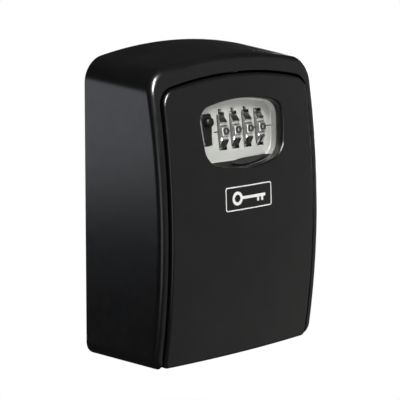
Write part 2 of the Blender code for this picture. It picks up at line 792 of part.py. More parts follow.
def ten_sided(radius):
    pitch = 2 * math.pi / DIGITS
    return [(radius * math.cos(step * pitch), radius * math.sin(step * pitch)) for step in range(DIGITS)]


def build_wheels():
    for index in range(WHEEL_COUNT):
        frame = LOCK_FRAME @ Matrix.Translation((wheel_x(index), wheel_axis_y(), WHEEL_Z))
        half = WHEEL_WIDTH / 2
        wheel = prism(f"number_wheel_{index + 1}", wheel_outline(), -half, half, "X", frame)
        bore = ten_sided(SLEEVE_HUB_RADIUS + SLEEVE_FIT)
        cut(wheel, prism(f"wheel_bore_{index + 1}_cutter", bore, -WHEEL_WIDTH, WHEEL_WIDTH, "X", frame))
        link(finish(wheel, "bright_wheel"), PARTS)
        disc_low = half + CLEARANCE
        disc_high = disc_low + sleeve_disc_thickness()
        disc = ((disc_low, 0, 0), (disc_high, 0, 0))
        sleeve = rod(f"code_sleeve_{index + 1}", *disc, SLEEVE_DISC_RADIUS, frame)
        hub_end = (disc_low + disc_high) / 2
        hub = ten_sided(SLEEVE_HUB_RADIUS)
        join(sleeve, prism(f"sleeve_hub_{index + 1}_joiner", hub, -half, hub_end, "X", frame))
        far = SLEEVE_DISC_RADIUS * 2
        gate = ((disc_low - CLEARANCE / 2, -far, -far), (far, -GATE_DISTANCE, far))
        cut(sleeve, box(f"gate_{index + 1}_cutter", *gate, frame))
        ends = ((-far, 0, 0), (far, 0, 0))
        cut(sleeve, rod(f"sleeve_bore_{index + 1}_cutter", *ends, SHAFT_RADIUS + CLEARANCE, frame))
        link(finish(sleeve, "brass"), PARTS)


def case_front():
    return plate_back() + 2 * CLEARANCE + LATCH_THICKNESS + CLEARANCE


def case_back():
    return wheel_axis_y() + wheel_reach() + CODE_CAM_THICKNESS + 3 * CLEARANCE + CASE_WALL


def ear_y():
    """Where the dial plate's ears meet the lock case's ears."""
    return case_front() - CLEARANCE


def build_case():
    low = Vector((-CASE_HALF_WIDTH, case_front(), -CASE_BOTTOM))
    high = Vector((CASE_HALF_WIDTH, case_back(), CASE_TOP))
    case = box("lock_case", low, high, LOCK_FRAME)
    for index, (x, z) in enumerate(boss_points()):
        ends = sorted((x, math.copysign(CASE_HALF_WIDTH - CASE_WALL / 2, x)))
        tab = (
            (ends[0], case_front(), z - TAB_WIDTH / 2),
            (ends[1], case_front() + EAR_THICKNESS, z + TAB_WIDTH / 2),
        )
        join(case, box(f"case_tab_{index + 1}_joiner", *tab, LOCK_FRAME))
        start = (x, case_front(), z)
        end = (x, case_front() + EAR_THICKNESS, z)
        join(case, rod(f"case_ear_{index + 1}_joiner", start, end, BOSS_RADIUS, LOCK_FRAME))
        bore = ((x, 0, z), (x, case_back(), z))
        cut(case, screw_bore(f"case_ear_bore_{index + 1}_cutter", *bore))
        head = Vector((x, case_front() + EAR_THICKNESS + CLEARANCE, z))
        tip = Vector((x, BOSS_DEPTH - SCREW_BITE + CLEARANCE, z))
        screw(f"lock_screw_{index + 1}", tip, head, LOCK_FRAME)
    wall = Vector((CASE_WALL, 0, CASE_WALL))
    hollow_low = low + wall - Vector((0, CASE_WALL, 0))
    hollow_high = high - wall - Vector((0, CASE_WALL, 0))
    cut(case, box("case_hollow_cutter", hollow_low, hollow_high, LOCK_FRAME))
    y = wheel_axis_y()
    reach = CASE_HALF_WIDTH + CASE_WALL
    ends = ((-reach, y, WHEEL_Z), (reach, y, WHEEL_Z))
    cut(case, rod("shaft_hole_cutter", *ends, SHAFT_RADIUS + CLEARANCE, LOCK_FRAME))
    ends = (
        (CODE_LEVER_X, case_back() - CASE_WALL * 2, CODE_LEVER_Z),
        (CODE_LEVER_X, case_back() + CASE_WALL, CODE_LEVER_Z),
    )
    cut(case, rod("code_lever_hole_cutter", *ends, CODE_LEVER_PIVOT_RADIUS + CLEARANCE, LOCK_FRAME))
    return link(finish(case, "black_plastic"), PARTS)


def build_shaft():
    y = wheel_axis_y()
    half = CASE_HALF_WIDTH + SHAFT_OVERHANG
    shaft = rod("wheel_shaft", (-half, y, WHEEL_Z), (half, y, WHEEL_Z), SHAFT_RADIUS, LOCK_FRAME)
    head = ((-half, y, WHEEL_Z), (-CASE_HALF_WIDTH - CLEARANCE, y, WHEEL_Z))
    join(shaft, rod("shaft_head_joiner", *head, SHAFT_HEAD_RADIUS, LOCK_FRAME))
    groove_start = CASE_HALF_WIDTH + CLEARANCE
    link(finish(shaft, "zinc_steel"), PARTS)
    ends = ((groove_start, y, WHEEL_Z), (groove_start + CLIP_THICKNESS, y, WHEEL_Z))
    clip = rod("shaft_clip", *ends, CLIP_RADIUS, LOCK_FRAME)
    before = groove_start - JOIN_DEPTH
    after = groove_start + CLIP_THICKNESS + JOIN_DEPTH
    bore = ((before, y, WHEEL_Z), (after, y, WHEEL_Z))
    cut(clip, rod("clip_bore_cutter", *bore, SHAFT_RADIUS + CLEARANCE, LOCK_FRAME))
    mouth = (
        (before, y, WHEEL_Z - SHAFT_RADIUS + CLEARANCE),
        (after, y + 2 * CLIP_RADIUS, WHEEL_Z + SHAFT_RADIUS - CLEARANCE),
    )
    cut(clip, box("clip_mouth_cutter", *mouth, LOCK_FRAME))
    link(finish(clip, "spring_steel"), PARTS)


def build_detent_spring():
    """A comb of leaves under the wheels, its back strip held in the case."""
    top = WHEEL_Z - wheel_reach() - CLEARANCE
    low = top - DETENT_THICKNESS
    back = case_back() - CASE_WALL - CLEARANCE
    first = wheel_x(0) - WHEEL_WIDTH / 2
    last = wheel_x(WHEEL_COUNT - 1) + WHEEL_WIDTH / 2
    strip = box("detent_spring", (first, back - DETENT_STRIP_DEPTH, low), (last, back, top), LOCK_FRAME)
    for index in range(WHEEL_COUNT):
        half = DETENT_LEAF_WIDTH / 2
        leaf_low = (wheel_x(index) - half, case_front() + JOIN_DEPTH, low)
        leaf_high = (wheel_x(index) + half, back - JOIN_DEPTH, top)
        join(strip, box(f"detent_leaf_{index + 1}_joiner", leaf_low, leaf_high, LOCK_FRAME))
    link(finish(strip, "spring_steel"), PARTS)


def latch_front():
    return plate_back() + CLEARANCE


def latch_back():
    return latch_front() + LATCH_THICKNESS


def finger_foot():
    """The lowest a latch finger reaches at rest: drawn fully down it stays clear of a code sleeve's rim."""
    near = wheel_axis_y() - latch_back()
    return WHEEL_Z + math.sqrt(SLEEVE_DISC_RADIUS**2 - near**2) + CLEARANCE + LATCH_TRAVEL_DOWN


def latch_bar_foot():
    near = wheel_axis_y() - latch_back()
    return WHEEL_Z + math.sqrt(wheel_reach() ** 2 - near**2) + LATCH_TRAVEL_DOWN + CLEARANCE


def tongue_top():
    """Lock-frame height of the tongue's tip, which stands just under the opening's crown at rest."""
    rise = opening_top() - TONGUE_CLEARANCE - LOCK_ORIGIN.z
    return (rise + latch_front() * math.sin(LOCK_TILT)) / math.cos(LOCK_TILT)


def build_latch_slide():
    front = latch_front()
    back = latch_back()
    foot = latch_bar_foot()
    crown = foot + LATCH_BAR_HEIGHT
    left = LEVER_X - LEVER_ARM_WIDTH / 2
    right = SPRING_X + SPRING_RADIUS
    slide = box("latch_slide", (left, front, foot), (right, back, crown), LOCK_FRAME)
    arm = ((left, front, LEVER_ARM_FOOT), (LEVER_X + LEVER_ARM_WIDTH / 2, back, foot + LATCH_BAR_HEIGHT / 2))
    join(slide, box("lever_arm_joiner", *arm, LOCK_FRAME))
    half = LATCH_TONGUE_WIDTH / 2
    tongue = ((-half, front, foot + JOIN_DEPTH), (half, back, tongue_top()))
    join(slide, box("tongue_joiner", *tongue, LOCK_FRAME))
    for index in range(WHEEL_COUNT):
        centre = wheel_x(index) + WHEEL_WIDTH / 2 + CLEARANCE + sleeve_disc_thickness() / 2
        half = sleeve_disc_thickness() / 2 - CLEARANCE
        ends = ((centre - half, front, finger_foot()), (centre + half, back, foot + JOIN_DEPTH))
        join(slide, box(f"latch_finger_{index + 1}_joiner", *ends, LOCK_FRAME))
    strut = ((SPRING_X - SPRING_RADIUS, front, spring_top()), (right, back, foot + JOIN_DEPTH))
    join(slide, box("spring_strut_joiner", *strut, LOCK_FRAME))
    seat = (
        (SPRING_X - SPRING_RADIUS, front + CLEARANCE, spring_top() + CLEARANCE),
        (right - CLEARANCE, spring_y() + SPRING_RADIUS, spring_top() + CLEARANCE + LATCH_THICKNESS),
    )
    join(slide, box("spring_seat_joiner", *seat, LOCK_FRAME))
    stud = ((LEVER_X, 0, LEVER_KNOB_Z), (LEVER_X, case_front(), LEVER_KNOB_Z))
    cut(slide, rod("lever_stud_hole_cutter", *stud, LEVER_STUD_RADIUS + CLEARANCE, LOCK_FRAME))
    link(finish(slide, "zinc_steel"), PARTS)


def spring_y():
    return wheel_axis_y() + SHAFT_RADIUS + SPRING_RADIUS + 3 * CLEARANCE


def spring_top():
    """Underside of the slide's spring seat at rest: clear of the shaft at full travel down."""
    return WHEEL_Z + SHAFT_RADIUS + LATCH_TRAVEL_DOWN + 2 * CLEARANCE


def build_latch_spring():
    """A coil between the floor of the lock case and the slide's seat."""
    low = -CASE_BOTTOM + CASE_WALL + SPRING_WIRE_RADIUS + CLEARANCE
    high = spring_top() - SPRING_WIRE_RADIUS
    coil_radius = SPRING_RADIUS - SPRING_WIRE_RADIUS
    count = SPRING_TURNS * SPRING_STEPS_PER_TURN
    curve = bpy.data.curves.new("latch_spring", "CURVE")
    curve.dimensions = "3D"
    curve.bevel_depth = SPRING_WIRE_RADIUS
    curve.bevel_resolution = 1
    curve.use_fill_caps = True
    spline = curve.splines.new("POLY")
    spline.points.add(count)
    for step in range(count + 1):
        angle = 2 * math.pi * step / SPRING_STEPS_PER_TURN
        x = SPRING_X + coil_radius * math.cos(angle)
        y = spring_y() + coil_radius * math.sin(angle)
        spline.points[step].co = (x, y, low + (high - low) * step / count, 1.0)
    spring = bpy.data.objects.new("latch_spring", curve)
    spring.matrix_world = LOCK_FRAME
    curve.materials.append(material("latch_spring_steel", *FINISHES["spring_steel"]))
    link(spring, PARTS)


def build_open_lever():
    """The black knob in front of the dial plate, with its neck in the slot and its stud in the slide."""
    knob_back = POCKET_DEPTH - CLEARANCE
    knob_front = knob_back - LEVER_KNOB_PROUD
    half_width = LEVER_KNOB_WIDTH / 2
    half_height = LEVER_KNOB_HEIGHT / 2
    low_z = LEVER_KNOB_Z - half_height
    high_z = LEVER_KNOB_Z + half_height
    profile = [
        (knob_back, low_z - LEVER_TAIL_LENGTH),
        (knob_back, high_z),
        (knob_front + LEVER_NOSE_ROUND, high_z),
        (knob_front, high_z - LEVER_NOSE_ROUND),
        (knob_front, low_z + LEVER_NOSE_ROUND),
        (knob_back - LEVER_NOSE_ROUND, low_z - LEVER_TAIL_LENGTH),
    ]
    lever = prism("open_lever", profile, LEVER_X - half_width, LEVER_X + half_width, "X", LOCK_FRAME)
    neck = (
        (LEVER_X - LEVER_NECK_WIDTH / 2, knob_back - JOIN_DEPTH, low_z + CLEARANCE),
        (LEVER_X + LEVER_NECK_WIDTH / 2, plate_back() + CLEARANCE / 2, high_z - CLEARANCE),
    )
    join(lever, box("lever_neck_joiner", *neck, LOCK_FRAME))
    stud = ((LEVER_X, knob_back - JOIN_DEPTH, LEVER_KNOB_Z), (LEVER_X, latch_back(), LEVER_KNOB_Z))
    join(lever, rod("lever_stud_joiner", *stud, LEVER_STUD_RADIUS, LOCK_FRAME))
    link(finish(lever, "black_plastic"), PARTS)


def build_code_lever():
    """The code-change lever on the back of the case, with its pivot and the cam inside."""
    at = LOCK_FRAME @ Matrix.Translation((CODE_LEVER_X, case_back() + CLEARANCE, CODE_LEVER_Z))
    inside = CASE_WALL + 2 * CLEARANCE
    lever = rod("code_lever", (0, 0, 0), (0, CODE_LEVER_THICKNESS, 0), CODE_LEVER_WIDTH / 2, at)
    arm_low = (-CODE_LEVER_LENGTH, SHALLOW_JOIN, -CODE_LEVER_ARM_WIDTH / 2)
    arm_high = (0, CODE_LEVER_THICKNESS - SHALLOW_JOIN, CODE_LEVER_ARM_WIDTH / 2)
    join(lever, box("code_lever_arm_joiner", arm_low, arm_high, at))
    grip_low = (-CODE_LEVER_LENGTH - SHALLOW_JOIN, 2 * SHALLOW_JOIN, -CODE_LEVER_WIDTH / 2)
    grip_high = (CODE_LEVER_GRIP_LENGTH - CODE_LEVER_LENGTH, CODE_LEVER_GRIP, CODE_LEVER_WIDTH / 2)
    join(lever, box("code_lever_grip_joiner", grip_low, grip_high, at))
    pivot = ((0, -inside - CODE_CAM_THICKNESS / 2, 0), (0, CODE_LEVER_THICKNESS / 2, 0))
    join(lever, rod("code_lever_pivot_joiner", *pivot, CODE_LEVER_PIVOT_RADIUS, at))
    cam = ((0, -inside - CODE_CAM_THICKNESS, 0), (0, -inside, 0))
    join(lever, rod("code_cam_joiner", *cam, CODE_CAM_RADIUS, at))
    link(finish(lever, "red_plastic"), PARTS)


def main():
    build_housing()
    build_keeper()
    build_door()
    build_dial_plate()
    build_pull_tab()
    build_case()
    build_shaft()
    build_wheels()
    build_detent_spring()
    build_latch_slide()
    build_latch_spring()
    build_open_lever()
    build_code_lever()


main()
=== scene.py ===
"""Looks of the wall-mounted key lock box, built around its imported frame. Metres, +Z up, front towards -Y."""

import json
import math

import bmesh
import bpy
from mathutils import Matrix, Vector


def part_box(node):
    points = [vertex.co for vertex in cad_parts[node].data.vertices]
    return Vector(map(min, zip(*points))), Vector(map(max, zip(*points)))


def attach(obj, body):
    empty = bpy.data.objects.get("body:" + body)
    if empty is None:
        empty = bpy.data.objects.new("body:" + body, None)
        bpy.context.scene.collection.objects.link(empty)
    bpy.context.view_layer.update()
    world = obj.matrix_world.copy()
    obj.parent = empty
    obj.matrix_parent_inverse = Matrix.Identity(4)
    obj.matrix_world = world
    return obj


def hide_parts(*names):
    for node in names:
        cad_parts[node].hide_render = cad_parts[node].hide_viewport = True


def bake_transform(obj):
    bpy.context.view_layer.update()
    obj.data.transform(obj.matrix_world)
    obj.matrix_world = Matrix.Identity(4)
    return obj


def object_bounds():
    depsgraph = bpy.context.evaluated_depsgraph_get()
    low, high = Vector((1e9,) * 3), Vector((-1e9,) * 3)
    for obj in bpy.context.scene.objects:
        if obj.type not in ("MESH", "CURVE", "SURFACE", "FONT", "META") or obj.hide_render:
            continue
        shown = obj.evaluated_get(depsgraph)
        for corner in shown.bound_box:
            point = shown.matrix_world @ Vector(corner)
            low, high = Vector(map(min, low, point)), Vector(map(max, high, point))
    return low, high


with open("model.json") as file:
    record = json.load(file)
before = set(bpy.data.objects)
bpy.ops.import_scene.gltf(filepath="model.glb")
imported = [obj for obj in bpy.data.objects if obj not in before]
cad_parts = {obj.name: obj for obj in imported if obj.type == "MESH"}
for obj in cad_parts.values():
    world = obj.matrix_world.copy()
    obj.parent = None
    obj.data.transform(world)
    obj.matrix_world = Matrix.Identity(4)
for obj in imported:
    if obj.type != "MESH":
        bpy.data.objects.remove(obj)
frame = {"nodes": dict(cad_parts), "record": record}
CAD_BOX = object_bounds()
NODES = frame["nodes"]

# Crowned front, draft and opening of the housing, as in the design.
CROWN_Z = 0.0565
PROFILE_RADIUS = 0.330
PLAN_RADIUS = 0.430
SIDE_DRAFT = 0.057
TOP_DRAFT = 0.080
TOP_ARCH_RADIUS = 0.216
TOP_CORNER_RADIUS = 0.012
BOTTOM_CORNER_RADIUS = 0.0058
FRONT_FILLET = 0.003
WALL = 0.003
BACK_WALL = 0.003
FLOOR = 0.003
LIP_DEPTH = 0.0044
FRAME_BAND = 0.0042
FRAME_TOP_BAND = 0.0079
OPENING_ARCH_RADIUS = 0.188
OPENING_CORNER_RADIUS = 0.0085
BACK_EDGE_ROUND = 0.0007
MOUTH_EDGE_ROUND = 0.0005
FIXING_SPACING_X = 0.060
FIXING_SPACING_Z = 0.062
FIXING_CENTRE_Z = 0.060
FIXING_HOLE_RADIUS = 0.0028
FIXING_SINK_RADIUS = 0.0052
FIXING_SINK_DEPTH = 0.0016
HINGE_SETBACK = 0.0052
HINGE_Z = 0.0034
HINGE_PIN_RADIUS = 0.00125
HINGE_PIN_IN_FRAME = 0.0028
KNUCKLE_RADIUS = 0.0027
KNUCKLE_LENGTH = 0.007
FLOOR_CLEARANCE = 0.0012

# Door and its window.
DOOR_PROUD = 0.001
DOOR_GAP = 0.001
DOOR_FILLET = 0.0014
DOOR_SKIN = 0.0022
DOOR_RIM = 0.002
DOOR_RIM_DEPTH = 0.005
DOOR_BASE_GAP = 0.0005
DOOR_BOTTOM_RADIUS = 0.0022
DOOR_RING_SHARES = (0.16, 0.33, 0.5, 0.67, 0.84)
WINDOW_CENTRE_Z = 0.102
WINDOW_HALF_WIDTH = 0.0256
WINDOW_TOP = 0.0153
WINDOW_BOTTOM = 0.0155
WINDOW_TOP_ARCH = 0.085
WINDOW_BOTTOM_ARCH = 0.080
WINDOW_CORNER = 0.0075
WINDOW_TAPER = 0.13
WINDOW_LIP_RADIUS = 0.0012
WINDOW_COLLAR = 0.0025
COLLAR_DEPTH = 0.0051
POCKET_DEPTH = 0.0085
PLATE_THICKNESS = 0.0013
PLATE_FILLET = 0.0006
TRAY_WALL = 0.0015
INDEX_LINE_WIDTH = 0.0005
INDEX_LINE_DEPTH = 0.0007
SLOT_NOTCH_WIDTH = 0.0021
SLOT_NOTCH_HEIGHT = 0.0016
SILL_RISE = 0.0034
SILL_SHARE = 0.8
SILL_FACING = 0.5
PULL_TAB_X = 0.0070
PULL_TAB_HALF_WIDTH = 0.0112
PULL_TAB_SHARE = 0.84
PULL_TAB_THICKNESS = 0.0008
PULL_TAB_CLEARANCE = 0.0004
# The scoop's shell from its middle (size 0) towards its rim (size 1): flat below, and dished above by so many
# times the rim's rounding.
SCOOP_UNDERSIDE = (0.0, 0.5, 0.97)
SCOOP_DISH = ((0.97, 0.0), (0.90, 0.0), (0.80, 1.0), (0.5, 1.6), (0.0, 1.8))
BOSS_X = 0.0325
BOSS_Z = 0.0085
BOSS_RADIUS = 0.0032
BOSS_DEPTH = 0.0080
EAR_BACK = 0.0118
TAB_WIDTH = 0.0045
SCREW_RADIUS = 0.0011
SCREW_BITE = 0.0034

# Number wheels and lever.
WHEEL_COUNT = 4
WHEEL_PITCH = 0.0077
WHEEL_ROW_CENTRE_X = 0.0051
WHEEL_Z = 0.0012
WHEEL_APOTHEM = 0.0095
WHEEL_WIDTH = 0.0042
WHEEL_PROUD = 0.003
WHEEL_FLAT = 0.0036
WHEEL_NOTCH_DEPTH = 0.0009
WHEEL_CHAMFER = 0.00018
WHEEL_SIDE_FACING = 0.9
DIGITS = 10
DIGIT_HEIGHT = 0.0028
CAP_SHARE = 0.69
DIGIT_BOLDNESS = 0.065
DIGIT_WIDENING = 1.65
DIGIT_DEPTH = 0.00016
DIGIT_PROUD = 0.00003
DIGIT_WELD = 1e-7
WHEEL_NOTCH_POWER = 0.6
SLEEVE_HUB_RADIUS = 0.0033
LATCH_THICKNESS = 0.0014
LEVER_X = -0.0155
LEVER_SLOT_WIDTH = 0.0042
LEVER_SLOT_SIDE = 0.0008
LEVER_SLOT_ABOVE = 0.0018
LEVER_SLOT_BELOW = 0.0085
LEVER_KNOB_Z = 0.0060
LEVER_KNOB_HEIGHT = 0.0040
LEVER_KNOB_WIDTH = 0.0048
LEVER_KNOB_PROUD = 0.0034
LEVER_NECK_WIDTH = 0.0030
LEVER_NECK_DROP = 0.0013
LEVER_STUD_RADIUS = 0.0012
SPRING_WIRE_RADIUS = 0.0003
SPRING_TURNS = 7
SPRING_STEPS = 24
LEAF_THICKNESS = 0.0007
LEAF_EDGE = 0.0002
LEAF_TOP = 0.0097
LEAF_FOOT = -0.0044
LEAF_TOP_WIDTH = 0.0062
LEAF_FOOT_WIDTH = 0.0036
LEAF_POWER = 0.35
KNOB_POWER = 0.75
KNOB_WAIST = 0.72
KNOB_SWELL = 2.2
KNOB_NOSE_START = 0.45
KNOB_NOSE_POWER = 2.6
KNOB_TIP_SIZE = 0.02
BADGE_CENTRE_Z = 0.0733
BADGE_HALF_WIDTH = 0.0143
BADGE_HALF_HEIGHT = 0.0054
BADGE_RADIUS = 0.0012
BADGE_LINE = 0.0005
KEY_LENGTH = 0.0205
KEY_BOW_RADIUS = 0.0031
KEY_EYE_RADIUS = 0.0017
KEY_SHAFT = 0.0013
KEY_BIT = 0.0018
KEY_BIT_WIDTH = 0.0013
KEY_BIT_SHARES = (0.24, 0.37)
PRINT_PROUD = 0.00004
PRINT_SUNK = 0.00010
CLEARANCE = 0.0003

# Smoothness of the visual surfaces.
CORNER_STEPS = 16
SIDE_STEPS = 24
ARCH_STEPS = 28
FLAT_STEPS = 12
FILLET_STEPS = 8
EDGE_STEPS = 4
ROUND_STEPS = 48
WHEEL_FLAT_STEPS = 2
WHEEL_NOTCH_STEPS = 10
DIGIT_CURVE_STEPS = 5
NOSE_STEPS = 14
BADGE_CORNER_STEPS = 8
BADGE_SIDE_STEPS = 8
KEY_BOW_STEPS = 40
SPRING_BEVEL_STEPS = 2
SHARP_ANGLE = math.radians(32)
WHEEL_SHARP_ANGLE = math.radians(28)
SCOOP_SHARP_ANGLE = math.radians(50)
LEVER_SHARP_ANGLE = math.radians(40)
NORMAL_WEIGHT = 60

BACK_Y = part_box("housing")[1].y
CROWN_DEPTH = BACK_Y - CAD_BOX[0][1] - DOOR_PROUD
HOUSING_WIDTH = CAD_BOX[1][0] - CAD_BOX[0][0]
HOUSING_HEIGHT = CAD_BOX[1][2]
FAR = 0.02
TRAY_RIM = COLLAR_DEPTH + CLEARANCE
PLATE_BACK = POCKET_DEPTH + PLATE_THICKNESS
LEAF_BACK = POCKET_DEPTH - CLEARANCE
LEAF_FRONT = LEAF_BACK - LEAF_THICKNESS


# ---------------------------------------------------------------- shared geometry

def front_y(x, z):
    """The crowned front surface of the frame, as a world Y."""
    sag = (z - CROWN_Z) ** 2 / (2 * PROFILE_RADIUS) + x**2 / (2 * PLAN_RADIUS)
    return BACK_Y - CROWN_DEPTH + sag


def door_y(x, z):
    return front_y(x, z) - DOOR_PROUD


def front_depth(x, z):
    return BACK_Y - front_y(x, z)


LOCK_TILT = math.atan((WINDOW_CENTRE_Z - CROWN_Z) / PROFILE_RADIUS)
LOCK_ORIGIN = Vector((0, door_y(0, WINDOW_CENTRE_Z), WINDOW_CENTRE_Z))
LOCK_FRAME = Matrix.Translation(LOCK_ORIGIN) @ Matrix.Rotation(-LOCK_TILT, 4, "X")


def lock_surface(x, z):
    """The door's front surface in the lock frame."""
    return x**2 / (2 * PLAN_RADIUS) + z**2 / (2 * PROFILE_RADIUS)


def arc_points(centre, radius, start, end, steps):
    """Points with normals along an arc, leaving out its last one."""
    for step in range(steps):
        angle = start + (end - start) * step / steps
        normal = (math.cos(angle), math.sin(angle))
        yield (centre[0] + radius * normal[0], centre[1] + radius * normal[1], *normal)


def half_outline(half_width, bottom, top, corners, arches):
    """Points (x, z, normal x, normal z) up the right half of an arched, round-cornered outline."""
    low_radius, high_radius = corners
    low_arch, high_arch = arches
    across = half_width - low_radius
    if low_arch is None:
        low_centre = (across, bottom + low_radius)
        low_angle = -math.pi / 2
        points = [(across * step / FLAT_STEPS, bottom, 0.0, -1.0) for step in range(FLAT_STEPS)]
    else:
        middle = bottom + low_arch
        low_centre = (across, middle - math.sqrt((low_arch - low_radius) ** 2 - across**2))
        low_angle = math.atan2(low_centre[1] - middle, across)
        points = list(arc_points((0.0, middle), low_arch, -math.pi / 2, low_angle, FLAT_STEPS))
    across = half_width - high_radius
    middle = top - high_arch
    high_centre = (across, middle + math.sqrt((high_arch - high_radius) ** 2 - across**2))
    high_angle = math.atan2(high_centre[1] - middle, across)
    points += arc_points(low_centre, low_radius, low_angle, 0.0, CORNER_STEPS)
    for step in range(SIDE_STEPS):
        z = low_centre[1] + (high_centre[1] - low_centre[1]) * step / SIDE_STEPS
        points.append((half_width, z, 1.0, 0.0))
    points += arc_points(high_centre, high_radius, 0.0, high_angle, CORNER_STEPS)
    points += arc_points((0.0, middle), high_arch, high_angle, math.pi / 2, ARCH_STEPS)
    return points + [(0.0, top, 0.0, 1.0)]


def outline(half_width, bottom, top, corners, arches, taper=0.0):
    """The whole closed outline, anticlockwise from the middle of its bottom as seen from the front."""
    right = half_outline(half_width, bottom, top, corners, arches)
    if taper:
        right = [(x * (1 - taper * ((top - z) / (top - bottom)) ** 2), z, nx, nz) for x, z, nx, nz in right]
    left = [(-x, z, -nx, nz) for x, z, nx, nz in reversed(right[1:-1])]
    return right + left


def inset(ring, distance):
    return [(x - distance * nx, z - distance * nz, nx, nz) for x, z, nx, nz in ring]


def ring_at(ring, y):
    """Outline points as 3D points, at a Y that is a number or a function of x and z."""
    return [Vector((x, y(x, z) if callable(y) else y, z)) for x, z, _, _ in ring]


def scaled(ring, centre_z, share):
    return [(x * share, centre_z + (z - centre_z) * share, nx, nz) for x, z, nx, nz in ring]


def rounded_edge(ring, radius, y, out=1.0, steps=FILLET_STEPS):
    """Rings over a quarter round: from the side of an edge to the face that lies at y.

    out is 1 where the face lies inside the ring and -1 where it lies outside it.
    """
    for step in range(steps + 1):
        turn = math.pi / 2 * step / steps
        edge = inset(ring, out * radius * (1 - math.cos(turn)))
        over = radius * (1 - math.sin(turn))
        yield [Vector((x, y(x, z) + over, z)) for x, z, _, _ in edge]


def new_object(name, data):
    """An object with this mesh, curve, lamp or camera, in the scene."""
    obj = bpy.data.objects.new(name, data)
    bpy.context.scene.collection.objects.link(obj)
    return obj


def shown_mesh(obj):
    """The mesh that obj shows, with its modifiers applied or its curve filled."""
    graph = bpy.context.evaluated_depsgraph_get()
    return bpy.data.meshes.new_from_object(obj.evaluated_get(graph))


def curve_mesh(curve):
    shown = new_object("curve", curve)
    mesh = shown_mesh(shown)
    bpy.data.objects.remove(shown)
    return mesh


def mesh_object(name, bm, place=None):
    bmesh.ops.recalc_face_normals(bm, faces=bm.faces)
    mesh = bpy.data.meshes.new(name)
    bm.to_mesh(mesh)
    bm.free()
    if place is not None:
        mesh.transform(place)
    return new_object(name, mesh)


def loft(name, rings, place=None, closed=False):
    """A solid through rings of equal count. A ring of one point is a pole.

    The end rings are capped flat, unless closed joins the last ring to the first.
    """
    bm = bmesh.new()
    loops = [[bm.verts.new(point) for point in ring] for ring in rings]
    pairs = list(zip(loops, loops[1:]))
    if closed:
        pairs.append((loops[-1], loops[0]))
    for low, high in pairs:
        count = max(len(low), len(high))
        for index in range(count):
            after = (index + 1) % count
            if len(low) == 1:
                bm.faces.new((low[0], high[after], high[index]))
            elif len(high) == 1:
                bm.faces.new((low[index], low[after], high[0]))
            else:
                bm.faces.new((low[index], low[after], high[after], high[index]))
    if not closed:
        for loop in (loops[0], loops[-1]):
            if len(loop) > 2:
                bm.faces.new(loop)
    return mesh_object(name, bm, place)


def box(name, low, high, place=None):
    """A block between two opposite corners."""
    low = Vector(low)
    high = Vector(high)
    bm = bmesh.new()
    bmesh.ops.create_cube(bm, size=1.0)
    bmesh.ops.scale(bm, vec=high - low, verts=bm.verts)
    bmesh.ops.translate(bm, vec=(low + high) / 2, verts=bm.verts)
    return mesh_object(name, bm, place)


def rod(name, start, end, radius, place=None, end_radius=None):
    """A cylinder, or a cone where end_radius is given, from start to end."""
    start = Vector(start)
    end = Vector(end)
    along = end - start
    bm = bmesh.new()
    bmesh.ops.create_cone(
        bm,
        cap_ends=True,
        segments=ROUND_STEPS,
        radius1=radius,
        radius2=radius if end_radius is None else end_radius,
        depth=along.length,
    )
    turn = Vector((0, 0, 1)).rotation_difference(along).to_matrix().to_4x4()
    bmesh.ops.transform(bm, matrix=Matrix.Translation((start + end) / 2) @ turn, verts=bm.verts)
    return mesh_object(name, bm, place)


def boolean(obj, tools, operation):
    """Join or cut obj by each tool in turn, and apply it all to obj's mesh."""
    for tool in tools:
        modifier = obj.modifiers.new(operation, "BOOLEAN")
        modifier.operation = operation
        modifier.object = tool
    mesh = shown_mesh(obj)
    obj.modifiers.clear()
    obj.data = mesh
    for tool in tools:
        bpy.data.objects.remove(tool)
    return obj


def cut(obj, *tools):
    return boolean(obj, tools, "DIFFERENCE")


def join(obj, *tools):
    return boolean(obj, tools, "UNION")


def smooth(obj, angle=SHARP_ANGLE):
    obj.data.shade_smooth()
    obj.data.set_sharp_from_angle(angle=angle)
    return obj


def dress(obj, look, body, slot, *replaced):
    """Give a piece its material and body, and hide the CAD nodes that it stands for. The slot argument is not
    used.
    """
    obj.data.materials.clear()
    obj.data.materials.append(look)
    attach(obj, body)
    if replaced:
        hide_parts(*replaced)
    return obj


# ---------------------------------------------------------------- materials

